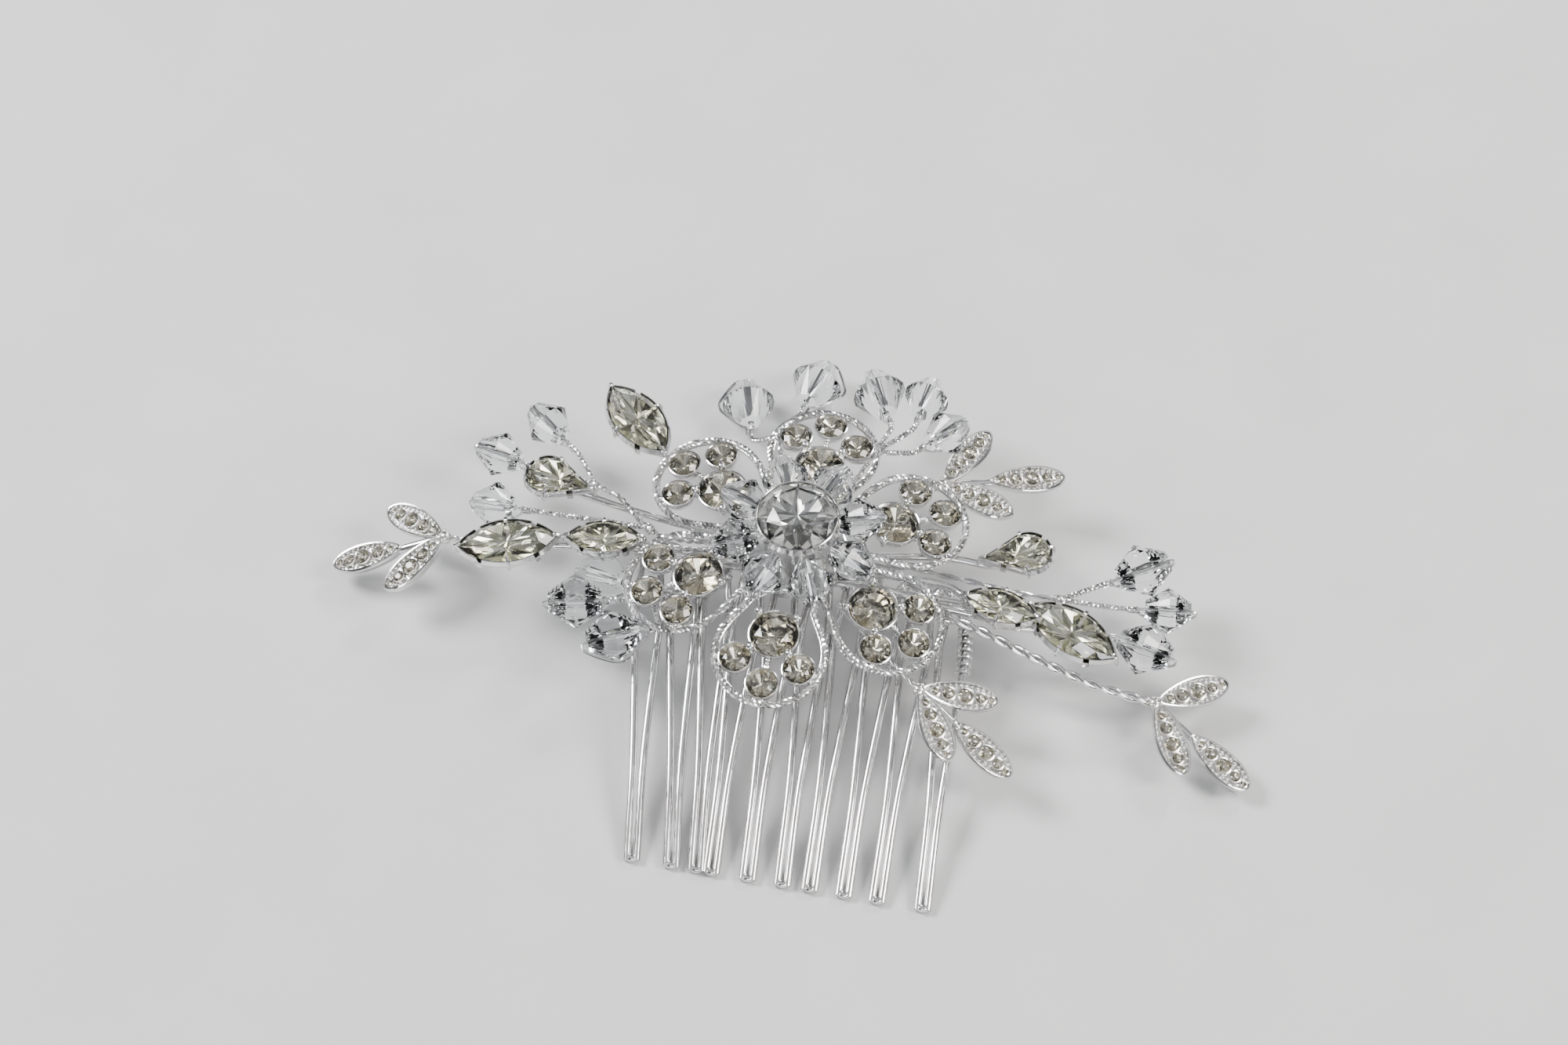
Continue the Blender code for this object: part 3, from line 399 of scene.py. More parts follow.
class Shape:
    """Closed forms gathered in the flower's frame, which become one piece of the comb."""

    def __init__(self, *finishes):
        self.finishes = finishes
        self.points = []
        self.faces = []
        self.looks = []

    def add(self, points, faces, look=0, matrix=None):
        """One closed form. look is the number of its finish."""
        start = len(self.points)
        self.points += [matrix @ Vector(p) for p in points] if matrix else [Vector(p) for p in points]
        self.faces += [[start + i for i in face] for face in faces]
        self.looks += [look] * len(faces)

    def tube(self, path, width, sides=10, look=0):
        """A round wire with domed ends."""
        radius = width / 2
        stations = [(place, marks, 1.0) for place, marks in zip(path, frames_on(path), strict=True)]
        (first, start, _), (last, end, _) = stations[0], stations[-1]
        cap_in = [(first - start[0] * radius * out * DOME_HEIGHT, start, share) for out, share in DOME[::-1]]
        cap_out = [(last + end[0] * radius * out * DOME_HEIGHT, end, share) for out, share in DOME]
        points, rings = [], []
        for place, (_, side, other), share in [*cap_in, *stations, *cap_out]:
            rings.append(range(len(points), len(points) + sides))
            points += [place + (side * x + other * y) * radius * share for x, y in around(sides)]
        self.add(points, [rings[0][::-1], rings[-1], *bands(rings)], look)

    def twisted(self, path, width, lay, strands=2, sides=8, steps=12):
        """Strands laid round each other, one full turn in each lay, with so many steps to a turn."""
        strand = width * STRAND_SHARE[strands]
        swing = (width - strand) / 2
        even = evenly(path, lay / steps)
        marks = frames_on(even)
        step = sum((b - a).length for a, b in zip(even, even[1:])) / (len(even) - 1)
        for number in range(strands):
            laid = []
            for i, (place, (_, side, other)) in enumerate(zip(even, marks)):
                angle = 2 * pi * (i * step / lay + number / strands)
                laid.append(place + (side * cos(angle) + other * sin(angle)) * swing)
            self.tube(laid, strand, sides)

    def lathe(self, profile, sides, matrix=None, look=0):
        """A turned solid. Its profile runs from axis to axis, or is a closed loop clear of the axis."""
        points, rings = [], []
        for radius, z in profile:
            corners = [(radius * x, radius * y, z) for x, y in around(sides)] if radius > 0 else [(0, 0, z)]
            rings.append(range(len(points), len(points) + len(corners)))
            points += corners
        if profile[0][0] > 0:
            rings.append(rings[0])
        self.add(points, bands(rings), look, matrix)

    def ball(self, centre, radius, look=0, sides=12):
        steps = 6
        profile = [(0.0, radius)]
        for k in range(1, steps):
            angle = pi * k / steps
            profile.append((radius * sin(angle), radius * cos(angle)))
        profile.append((0.0, -radius))
        self.lathe(profile, sides, Matrix.Translation(centre), look)

    def loft(self, rings, matrix=None, look=0):
        """A closed solid through rings of equally many points, capped at both ends."""
        count = len(rings[0])
        levels = [range(level * count, (level + 1) * count) for level in range(len(rings))]
        points = [p for ring in rings for p in ring]
        self.add(points, [levels[0], levels[-1], *bands(levels)], look, matrix)

    def make(self, name, slot, *nodes, body="comb", sharp=38.0):
        """The piece, on its body and in place of its nodes. Edges over sharp degrees stay crisp."""
        mesh = bpy.data.meshes.new(name)
        mesh.from_pydata([p + ORIGIN for p in self.points], [], self.faces)
        for finish in self.finishes:
            mesh.materials.append(finish)
        mesh.polygons.foreach_set("material_index", self.looks)
        made = bmesh.new()
        made.from_mesh(mesh)
        bmesh.ops.recalc_face_normals(made, faces=made.faces)
        made.to_mesh(mesh)
        made.free()
        if sharp:
            mesh.shade_smooth()
            mesh.set_sharp_from_angle(angle=radians(sharp))
        else:
            mesh.shade_flat()
        obj = bpy.data.objects.new(name, mesh)
        bpy.context.scene.collection.objects.link(obj)
        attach(obj, body)
        if nodes:
            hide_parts(*nodes)


# -------- cut stones


def outline(dense):
    """A function that gives the point at a share of the way round a closed outline of many points."""
    ends = [*dense, dense[0]]
    lengths = [0.0]
    for a, b in zip(ends, ends[1:]):
        lengths.append(lengths[-1] + (b - a).length)

    def at(share):
        want = (share % 1.0) * lengths[-1]
        i = next(k for k in range(1, len(lengths)) if lengths[k] >= want)
        span = lengths[i] - lengths[i - 1]
        return ends[i - 1].lerp(ends[i], (want - lengths[i - 1]) / span if span else 0.0)

    return at


def round_at(radius):
    """The same for a circle."""

    def at(share):
        return polar(360 * share, 1.0) * radius

    return at


def marquise_outline(length, width, count=64):
    radius = (length**2 + width**2) / (4 * width)
    half_angle = asin(length / 2 / radius)
    points = []
    for side in (1, -1):
        for k in range(count // 2):
            angle = half_angle * (1 - 2 * k / (count // 2))
            bulge = radius * cos(angle) - radius + width / 2
            points.append(Vector((side * radius * sin(angle), side * bulge, 0)))
    return points


def teardrop_outline(length, width, count=64):
    round_r = width / 2
    centre = length / 2 - round_r
    open_angle = acos(round_r / (length - round_r))
    sweep = 2 * (pi - open_angle)
    points = [Vector((-length / 2, 0, 0))]
    for k in range(count - 1):
        angle = -pi + open_angle + sweep * k / (count - 2)
        points.append(Vector((centre + round_r * cos(angle), round_r * sin(angle), 0)))
    return points


# A cut stone's main facets, the corners of its edge, and its points in all.
MAINS = 8
EDGES = 2 * MAINS
STONE_POINTS = 3 * MAINS + 2 * EDGES + 1
STAR_RISE = 0.55
LOW_RING_DEPTH = 0.90
# The foil on each facet below the edge, a pale, middle or deep copy that paints the facet lighter or darker
# as painted highlight and painted shade. The next stone of the same piece starts a few facets further on.
FOIL_ORDER = (1, 3, 2, 1, 2, 3, 1, 2, 3, 2, 1, 3, 1, 1, 2, 3)
FOIL_SHIFT = 5


def cut_stone(shape, at, girdle, thick, rise, depth, table=0.58, waist=0.82, low=0.12, matrix=None):
    """A brilliant cut on any outline, which at gives: table, star, kite and girdle facets above in glass, and
    below them wedges that run in to a small culet and carry the foil. girdle is the height where the edge
    starts, and thick, rise and depth go on from it. table, waist and low are shares of the outline."""

    def ring(count, shift, share, height):
        corners = [at((k + shift) / count) for k in range(count)]
        return [Vector((corner.x * share, corner.y * share, height)) for corner in corners]

    top = girdle + thick
    points = ring(MAINS, 0.0, table, top + rise)
    points += ring(MAINS, 0.5, waist, top + rise * STAR_RISE)
    points += ring(EDGES, 0.0, 1.0, top)
    points += ring(EDGES, 0.0, 1.0, girdle)
    points += ring(MAINS, 0.5, low, girdle - depth * LOW_RING_DEPTH)
    points.append(Vector((0.0, 0.0, girdle - depth)))
    star, upper = MAINS, 2 * MAINS
    lower = upper + EDGES
    half = lower + EDGES
    culet = half + MAINS
    crown, pavilion = [list(range(MAINS))], []
    for k in range(MAINS):
        after, before = (k + 1) % MAINS, (k - 1) % MAINS
        left, middle, right = 2 * k, 2 * k + 1, (2 * k + 2) % EDGES
        crown.append([k, after, star + k])
        crown.append([k, star + before, upper + left])
        crown.append([k, upper + left, star + k])
        crown.append([star + k, upper + left, upper + middle])
        crown.append([star + k, upper + middle, upper + right])
        pavilion.append([half + k, lower + left, lower + middle])
        pavilion.append([half + k, lower + middle, lower + right])
        pavilion.append([culet, half + before, lower + left])
        pavilion.append([culet, lower + left, half + k])
    for k in range(EDGES):
        after = (k + 1) % EDGES
        crown.append([upper + k, upper + after, lower + after, lower + k])
    start = len(shape.points)
    shape.add(points, crown, 0, matrix)
    shape.faces += [[start + i for i in face] for face in pavilion]
    # The facets below the edge take the pale, middle and deep foil copies in turn: painted highlight and
    # painted shade.
    turn = FOIL_SHIFT * (start // STONE_POINTS)
    shape.looks += [FOIL_ORDER[(k + turn) % len(FOIL_ORDER)] for k in range(len(pavilion))]


# -------- the wire comb


def comb_place(across, along, lift=0.0):
    """A place on the comb: across it, down from its rail, and up from its wire. The teeth lean and sink."""
    share = max(along, 0.0) / TOOTH_LENGTH
    z = COMB_Z - TOOTH_SINK * share**2 + lift
    flat = turned(COMB_YAW, "Z") @ Vector((across + COMB_LEAN * share, -along, 0.0))
    return Vector((RAIL_CENTRE[0] + flat.x, RAIL_CENTRE[1] + flat.y, z))


def leg_root(leg):
    return (leg - (2 * TOOTH_COUNT - 1) / 2) * LEG_PITCH


def tip_centre(tooth):
    """How far across the comb a tooth's tip is. Worn teeth drift out of their even pitch."""
    return (tooth - (TOOTH_COUNT - 1) / 2) * TIP_PITCH + TIP_DRIFT[tooth] * MM


def leg_point(leg, along):
    """A place on a leg. A tooth's two legs part down to the shoulder, then close in to the tip's bend."""
    tooth, side = leg // 2, -1 if leg % 2 == 0 else 1
    run = TOOTH_LENGTH - TIP_BEND_R
    root = (leg_root(2 * tooth) + leg_root(2 * tooth + 1)) / 2
    shoulder = LEG_PITCH - COMB_R - GAP / 2
    closed = run * CLOSED_SHARE
    if along < SHOULDER_ALONG:
        near, far, share = LEG_PITCH / 2, shoulder, along / SHOULDER_ALONG
    else:
        share = min(1.0, (along - SHOULDER_ALONG) / (closed - SHOULDER_ALONG))
        near, far = shoulder, TIP_BEND_R
    eased = (share + share**2 * (3 - 2 * share)) / 2
    across = root + (tip_centre(tooth) - root) * along / run + side * (near + (far - near) * eased)
    return comb_place(across, along)


def leg_route(leg):
    run = TOOTH_LENGTH - TIP_BEND_R
    low = [SHOULDER_ALONG + (run - SHOULDER_ALONG) * share for share in (0.2, 0.42, 0.68, 1.0)]
    return [leg_point(leg, along) for along in (0.0, SHOULDER_ALONG / 2, SHOULDER_ALONG, *low)]


def add_comb_teeth():
    """One wire: down a leg, round the tip, up the next leg and over the top to the next tooth."""
    top_r = LEG_PITCH / 2
    top_start = RAIL_D / 2 + LASHING_D + 2 * GAP
    bends = (20, 50, 90, 130, 160)
    route = []
    for tooth in range(TOOTH_COUNT):
        left, right = 2 * tooth, 2 * tooth + 1
        route.append(comb_place(leg_root(left), -top_start))
        route += leg_route(left)
        for angle in bends:
            bend = radians(angle)
            across = tip_centre(tooth) - TIP_BEND_R * cos(bend)
            route.append(comb_place(across, TOOTH_LENGTH - TIP_BEND_R * (1 - sin(bend))))
        route += reversed(leg_route(right))
        route.append(comb_place(leg_root(right), -top_start))
        if tooth < TOOTH_COUNT - 1:
            for angle in bends:
                bend = radians(angle)
                across = leg_root(right) + top_r * (1 - cos(bend))
                route.append(comb_place(across, -top_start - top_r * sin(bend)))
    shape = Shape(COMB_WIRE)
    shape.tube(smooth_route(route, 4), COMB_WIRE_D, 14)
    shape.make("comb_teeth_wire", "silver_wire", "comb_teeth")


def add_comb_rail():
    half = leg_root(2 * TOOTH_COUNT - 1) + COMB_R + RAIL_OVERHANG
    steps = 20
    path = [comb_place(half * (2 * k / steps - 1), 0.0, RAIL_Z - COMB_Z) for k in range(steps + 1)]
    shape = Shape(COMB_WIRE)
    shape.tube(path, RAIL_D, 16)
    shape.make("comb_rail_wire", "silver_wire", "comb_rail")


def add_lashing():
    """The binding wire steps over the rail to each gap between legs, then is wound down the last leg."""
    middle = (RAIL_Z + RAIL_D / 2 + COMB_Z - COMB_R) / 2 - COMB_Z
    high = (RAIL_Z - COMB_Z + RAIL_D / 2 + COMB_R) / 2 + 1.4 * GAP + LASHING_D / 2
    wide = RAIL_D / 2 + GAP + LASHING_D / 2 + GAP
    first_gap = leg_root(0) + LEG_PITCH / 2
    steps = 24
    route = []
    for k in range((TOOTH_COUNT - 1) * steps + 1):
        turn = k / steps
        angle = 2 * pi * turn
        across = first_gap + 2 * LEG_PITCH * (turn - sin(4 * pi * turn) / (4 * pi))
        route.append(comb_place(across, wide * cos(angle), middle + high * sin(angle)))
    last = 2 * TOOTH_COUNT - 1
    wrap = COMB_R + GAP + LASHING_D / 2
    leg_start = wide + LASHING_D
    entry = comb_place(leg_root(last) - wrap, leg_start)
    link = smooth_route([route[-2], route[-1], (route[-1] + entry) / 2, entry], 4)[4:-1]
    leg = smooth_route(leg_route(last), 6)
    steps = 16
    coil = []
    for k in range(LEG_WRAP_TURNS * steps + 1):
        angle = pi + 2 * pi * k / steps
        centre = along_route(leg, leg_start + LEG_WRAP_PITCH * k / steps)
        across = turned(COMB_YAW, "Z") @ Vector((wrap * cos(angle), 0.0, 0.0))
        coil.append(centre + across + UP * wrap * sin(angle))
    shape = Shape(WIRE)
    shape.tube([*route, *link, *coil], LASHING_D, 8)
    shape.make("lashing_binding_wire", "silver_wire", "lashing_wire")


# -------- beads


def add_bead(name, width, place, axis, body):
    """A cut crystal bicone. On each cone eight long facets point to the girdle, and between them pairs of
    shorter ones stand on it. The drilled hole is polished too."""
    half, end, hole = width * BEAD_LENGTH_SHARE / 2, width / 2 * BEAD_END_SHARE, BEAD_HOLE_D / 2 * 0.8
    corners, turn = 2 * BEAD_SIDES, 360 / BEAD_SIDES
    points = [polar(turn / 2 * k, width / 2 * (1.0 if k % 2 else 0.985)) for k in range(corners)]
    faces = []
    for side in (1, -1):
        outer, inner = len(points), len(points) + BEAD_SIDES
        points += [polar(turn * k, end, side * half) for k in range(BEAD_SIDES)]
        points += [polar(turn * k, hole, side * half) for k in range(BEAD_SIDES)]
        for k in range(BEAD_SIDES):
            after = (k + 1) % BEAD_SIDES
            left, middle, right = (2 * k - 1) % corners, 2 * k, 2 * k + 1
            faces.append([outer + k, outer + after, right])
            faces.append([outer + k, left, middle])
            faces.append([outer + k, middle, right])
            faces.append([outer + k, outer + after, inner + after, inner + k])
    top, bottom = corners + BEAD_SIDES, corners + 3 * BEAD_SIDES
    for k in range(BEAD_SIDES):
        after = (k + 1) % BEAD_SIDES
        faces.append([top + k, top + after, bottom + after, bottom + k])
    shape = Shape(CLEAR)
    shape.add(points, faces, 0, frame_on(place, axis))
    shape.make(f"{name}_glass", "clear_crystal", name, body=body, sharp=0)


# -------- the flower

# No two stones sit quite level in their cups, so they catch the light at different moments.
STONE_TILT = 3.0
# A claw rises beside its cup: its points as shares of the cup's radius, and their heights. A ball ends it.
CLAW = ((0.90, -0.8 * MM), (1.03, -0.1 * MM), (1.07, 0.40 * MM), (1.02, 0.80 * MM))
CLAW_D = 0.70 * MM
CLAW_BALL_R = 0.62 * MM
SEAT_Z = 0.45 * MM


def chaton(cups, stones, width, depth, matrix, claws):
    """A round stone in an open cup. A large one is held by four ball-tipped claws, a small one by its rim."""
    stone, rim = width / 2, width / 2 + CUP_WALL
    lip = 0.10 * MM if claws else 0.17 * MM
    profile = [
        (stone * 0.975, SEAT_Z + lip - 0.04 * MM),
        (stone + 0.03 * MM, SEAT_Z + lip + 0.04 * MM),
        (stone + 0.14 * MM, SEAT_Z + lip),
        (rim - 0.03 * MM, SEAT_Z - 0.20 * MM),
        (rim * 0.86, -depth + 0.12 * MM),
        (rim * 0.80, -depth),
        (stone * 0.30, -depth),
        (stone * 0.30, -depth + 0.15 * MM),
        (stone * 0.80, -0.10 * MM),
        (stone * 0.975, SEAT_Z - 0.10 * MM),
    ]
    cups.lathe(profile, 40, matrix)
    for k in range(claws):
        azimuth = 45 + 360 / claws * k
        path = smooth_route([polar(azimuth, rim * share, height) for share, height in CLAW], 3)
        cups.tube([matrix @ p for p in path], CLAW_D)
        cups.ball(matrix @ polar(azimuth, rim * 1.03, 0.92 * MM), CLAW_BALL_R)
    tilt = turned(STONE_TILT * sin(41 * matrix.translation.x / MM), "X")
    tilt @= turned(STONE_TILT * sin(29 * matrix.translation.y / MM), "Y")
    below = (0.50 if claws else 0.42) * stone
    at = round_at(stone * 0.965)
    cut_stone(stones, at, SEAT_Z - 0.10 * MM, 0.12 * MM, 0.32 * stone, below, matrix=matrix @ tilt)


def add_petal(name, matrix):
    """A rope ring open at its root, with one large and three small set stones tied to it by solder."""
    ring = PETAL_RING_R
    opening, steps = 115, 10
    arc = [polar(-opening + 2 * opening * k / steps, ring) for k in range(steps + 1)]
    half_share = pi / PETAL_COUNT
    narrow = PETAL_ROOT * tan(half_share) - (ROPE_R + GAP) / cos(half_share)
    inner = Vector((-PETAL_RUN, narrow, 0.0))
    waist = (inner + arc[-1]) / 2
    waist.y -= 0.02 * ring
    mirror = Matrix.Diagonal((1, -1, 1))
    route = smooth_route([mirror @ inner, mirror @ waist, *arc, waist, inner], 5)
    rope = Shape(ROPE, PLATE)
    rope.twisted([matrix @ p for p in route], ROPE_D, ROPE_LAY, strands=4, sides=7, steps=14)
    rope.tube([matrix @ p for p in evenly(route, 0.5 * MM)], ROPE_D * 0.5, 8)
    below = Vector((0, 0, -0.18 * MM))
    lining = [matrix @ (p * (1 - 0.30 * MM / max(p.length, ring)) + below) for p in route]
    rope.tube(lining, 0.55 * MM, 8, 1)
    rope.make(f"{name}_rope", "silver_plate", name)

    cups = Shape(PLATE)
    stones = Shape(STONE, *CHAMPAGNE)
    big = Vector((BIG_CHATON_X, 0, 0))
    chaton(cups, stones, BIG_CHATON_D, BIG_CUP_DEPTH, matrix @ Matrix.Translation(big), 4)
    reach = ring - ROPE_R - SMALL_CHATON_D / 2 - CUP_WALL + 0.15 * MM
    for azimuth in SMALL_CHATONS:
        small = polar(azimuth, reach)
        chaton(cups, stones, SMALL_CHATON_D, SMALL_CUP_DEPTH, matrix @ Matrix.Translation(small), 0)
        near = big.lerp(small, 0.52)
        bridge = [near.lerp(small, share) + Vector((0, 0, -0.25 * MM)) for share in (-0.10, 0.1, 0.35)]
        cups.tube([matrix @ p for p in bridge], 0.8 * MM, 8)
        for share, radius in ((0.0, 0.42), (0.14, 0.34)):
            cups.ball(matrix @ (near.lerp(small, share) + Vector((0, 0, 0.12 * MM))), radius * MM)
        tie = polar(azimuth, ring - ROPE_R * 0.9)
        for swing in (-0.55 * MM, 0.45 * MM):
            across = polar(azimuth + 90, swing)
            cups.ball(matrix @ (tie + across + Vector((0, 0, 0.10 * MM))), 0.36 * MM)
    cups.make(f"{name}_cups", "silver_plate")
    stones.make(f"{name}_stones", "foiled_rhinestone", sharp=0)


def add_petals():
    root = Matrix.Translation((PETAL_ROOT, 0.0, PETAL_Z)) @ turned(PETAL_TILT, "Y")
    for k in range(PETAL_COUNT):
        turn = turned(FIRST_PETAL + 360 / PETAL_COUNT * k, "Z")
        add_petal(f"petal_{k + 1}", turn @ root @ Matrix.Translation((PETAL_RUN, 0.0, 0.0)))


def add_base():
    bore, edge = POST_D / 2 + GAP, BASE_D / 2
    profile = [
        (bore, BASE_TOP),
        (edge - 0.45 * MM, BASE_TOP),
        (edge - 0.15 * MM, BASE_TOP - 0.12 * MM),
        (edge, BASE_TOP - 0.5 * MM),
        (edge, BASE_Z + 0.15 * MM),
        (edge - 0.15 * MM, BASE_Z),
        (bore, BASE_Z),
    ]
    shape = Shape(PLATE)
    shape.lathe(profile, 64)
    shape.make("flower_base_plate", "silver_plate", "flower_base")


def add_centre():
    """The cup, whose post and rivet head hold the flower together, and the large stone in it."""
    stone, post = CENTRE_STONE_D / 2, POST_D / 2
    rim_z = CUP_FLOOR_Z + CENTRE_CUP_DEPTH
    floor = CUP_FLOOR_Z + 0.4 * MM
    head_top = BASE_Z - GAP
    wall = stone + GAP + 0.35 * MM
    profile = [
        (0.0, floor),
        (stone * 0.45, floor),
        (stone + GAP, rim_z - 0.02 * MM),
        (stone + GAP, rim_z + 0.40 * MM),
        (stone + GAP + 0.08 * MM, rim_z + 0.46 * MM),
        (stone + GAP + 0.17 * MM, rim_z + 0.40 * MM),
        (wall - 0.08 * MM, rim_z - 0.1 * MM),
        (wall, rim_z - 0.5 * MM),
        (stone * 0.55, CUP_FLOOR_Z),
        (post, CUP_FLOOR_Z),
        (post, head_top),
        (RIVET_D / 2, head_top),
        (RIVET_D / 2 * 0.9, head_top - RIVET_THICK * 0.7),
        (0.0, head_top - RIVET_THICK),
    ]
    cup = Shape(PLATE)
    cup.lathe(profile, 72)
    cup.make("centre_cup_bezel", "silver_plate", "centre_cup")
    girdle = rim_z + 0.05 * MM
    shape = Shape(CENTRE_GLASS, *SILVER_FOIL)
    depth = girdle - (floor + GAP)
    cut_stone(shape, round_at(stone + GAP * 0.9), girdle, 0.25 * MM, 2.1 * MM, depth, 0.60, 0.84, 0.30)
    shape.make("centre_stone_cut", "foiled_rhinestone", "centre_stone", sharp=0)


def add_centre_beads():
    """A hub with one wire through each bead, which ends in a knob."""
    bore, hub = POST_D / 2 + GAP, SPIDER_HUB_D / 2
    high, low = HUB_Z + SPIDER_HUB_THICK / 2, HUB_Z - SPIDER_HUB_THICK / 2
    spider = Shape(WIRE)
    spider.lathe([(bore, high), (hub - 0.1 * MM, high), (hub, high - 0.1 * MM), (hub, low), (bore, low)], 48)
    half = SMALL_BEAD_D * BEAD_LENGTH_SHARE / 2
    out = BEAD_RING_R / cos(radians(CENTRE_BEAD_TILT))
    for number in range(CENTRE_BEAD_COUNT):
        azimuth = CENTRE_BEAD_TURN + 360 / CENTRE_BEAD_COUNT * number
        axis = direction(azimuth, -CENTRE_BEAD_TILT)
        start = Vector((0.0, 0.0, HUB_Z))
        base = out + half + GAP
        inner, steps = hub * 0.7, 6
        path = [start + axis * (inner + (base + 0.2 * MM - inner) * k / steps) for k in range(steps + 1)]
        spider.tube(path, STRAND_D * 1.25)
        head = BEAD_HOLE_D / 2 * 0.75
        knob = [(0.0, 0.45 * MM), (head * 0.6, 0.38 * MM), (head, 0.18 * MM), (head, 0.04 * MM), (0.0, 0.0)]
        knob = [(r, z + base) for r, z in knob]
        spider.lathe(knob, 16, frame_on(start, axis))
        add_bead(f"centre_bead_{number + 1}", SMALL_BEAD_D, start + axis * out, axis, "comb")
    spider.make("bead_spider_wire", "silver_wire", "bead_spider")


# -------- bead sprays

# Each spray: where its stem starts under the flower (azimuth and radius), then its way points and its fork
# beyond the flower's edge (azimuth, distance and height), in mm. Each bead: its size, its place from the fork
# (outward, sideways and up, in large beads), its axis's azimuth and pitch, the side that its wire comes back
# on, and the way point that its stalk leaves from, if that isn't the fork. lay is the length of one turn of
# the stem's twist, where it isn't COARSE_LAY.
SPRAYS = {
    "left_back": {
        "root": (165.5, 9.2),
        "way": [(168.5, -6.0, 8.8), (166.5, -3.2, 9.2), (163.0, -0.7, 10.1), (158.5, 1.8, 9.8)],
        "fork": (155.9, 5.7, 8.5),
        "beads": [
            ("small", (1.92, 0.08, -0.05), 156.0, 0.0, 0.0, None),
            ("small", (1.40, -0.90, -0.05), 132.0, 4.0, 0.0, None),
            ("small", (1.55, 1.05, -0.17), 162.0, -12.0, 0.0, 1),
        ],
    },
    "left_front": {
        "root": (196.0, 8.6),
        "way": [(196.0, -8.0, 8.6)],
        "fork": (196.0, -3.6, UNDER_STEMS_Z - 0.16 * LARGE_BEAD_D / MM),
        "beads": [
            ("large", (1.34, -0.33, 0.02), 182.0, 0.0, 0.0, None),
            ("large", (0.71, -0.93, -0.34), 150.0, -20.0, 0.0, None),
            ("large", (0.88, 0.60, 0.07), 196.0, 0.0, 90.0, None),
        ],
    },
    "back": {
        "root": (96.0, 8.4),
        "way": [(97.0, -8.0, 8.7)],
        "fork": (97.0, -3.2, 8.2),
        "beads": [
            ("large", (1.27, 0.42, -0.69), 96.0, -8.0, 90.0, None),
            ("large", (1.56, -0.92, -0.69), 66.0, -8.0, -90.0, None),
        ],
    },
    "back_right": {
        "root": (58.0, 8.4),
        "way": [(58.0, -8.0, 8.7)],
        "fork": (58.5, -3.4, 8.8),
        "beads": [
            ("large", (1.10, 0.56, 0.10), 104.0, -8.0, 0.0, None),
            ("small", (1.35, -0.30, 0.31), 70.0, -8.0, 0.0, None),
            ("small", (0.82, -1.04, 0.39), 38.0, -8.0, 0.0, None),
        ],
    },
    "right": {
        "lay": 6.5 * MM,
        "root": (-4.5, 9.6),
        "way": [(-5.7, -7.2, 8.8), (-8.0, -2.9, 8.9), (-9.5, 1.7, 9.0), (-10.2, 5.7, 8.8)],
        "fork": (-8.6, 10.8, 7.2),
        "beads": [
            ("large", (1.43, 0.71, 0.22), 18.0, 8.0, 0.0, None),
            ("small", (1.96, 0.09, -0.05), -4.0, 0.0, 0.0, None),
            ("large", (1.64, -0.74, -0.09), -25.0, 0.0, 0.0, None),
        ],
    },
}
COARSE_LAY, FINE_LAY = 2.4 * MM, 1.15 * MM
BEAD_SIZES = {"small": SMALL_BEAD_D, "large": LARGE_BEAD_D}


def fork_place(spray):
    azimuth, distance, height = SPRAYS[spray]["fork"]
    return beyond(azimuth, distance * MM, height * MM)


def bead_place(spray, number):
    azimuth = SPRAYS[spray]["fork"][0]
    out, sideways, up = SPRAYS[spray]["beads"][number][1]
    offset = direction(azimuth) * out + direction(azimuth + 90) * sideways + UP * up
    return fork_place(spray) + offset * LARGE_BEAD_D


def bead_wire(shape, fork, place, axis, width, side):
    """The finely twisted stalk to the bead, one strand through its hole, and the same strand coming back."""
    half, end = width * BEAD_LENGTH_SHARE / 2, width / 2 * BEAD_END_SHARE
    across = axis.cross(UP).normalized()
    under = axis.cross(across).normalized()
    if under.z > 0:
        under = -under
    turn = radians(side)
    out = under * cos(turn) - across * sin(turn)
    clear = GAP + STRAND_D / 2
    near = half + 0.8 * MM
    bend = place - axis * (near + (place - fork).length * 0.22)
    stalk = smooth_route([fork, bend, place - axis * near], 8)
    shape.twisted(stalk, TWIST_D, FINE_LAY)
    tail = (TWIST_D + STRAND_D) / 2 + GAP / 2
    loop = [
        (-near, 0.0),
        (-half + 0.4 * MM, 0.0),
        (0.0, 0.0),
        (half + 0.2 * MM, 0.0),
        (half + 2 * clear, 0.35 * end),
        (half + 1.3 * clear, end),
        (0.9 * clear + half * 0.5, (end + width / 2) / 2 + 1.4 * clear),
        (0.0, width / 2 + 1.2 * clear),
        (-0.9 * clear - half * 0.5, (end + width / 2) / 2 + 1.4 * clear),
        (-half - 1.3 * clear, end),
        (-near, tail + 0.1 * MM),
        (-near - 1.2 * MM, tail),
    ]
    shape.tube(smooth_route([place + axis * a + out * b for a, b in loop], 5), STRAND_D, 8)


def knot(shape, place, width, axis):
    """A few turns of wire wound tightly where wires meet."""
    ring = axis.orthogonal().normalized()
    other = axis.cross(ring)
    turns, steps = 3, 12
    coil = []
    for k in range(turns * steps + 1):
        angle = 2 * pi * k / steps
        along = axis * width * 0.9 * (k / (turns * steps) - 0.5)
        coil.append(place + along + (ring * cos(angle) + other * sin(angle)) * width * 0.36)
    shape.tube(coil, width * 0.34, 8)
    shape.ball(place, width * 0.40)


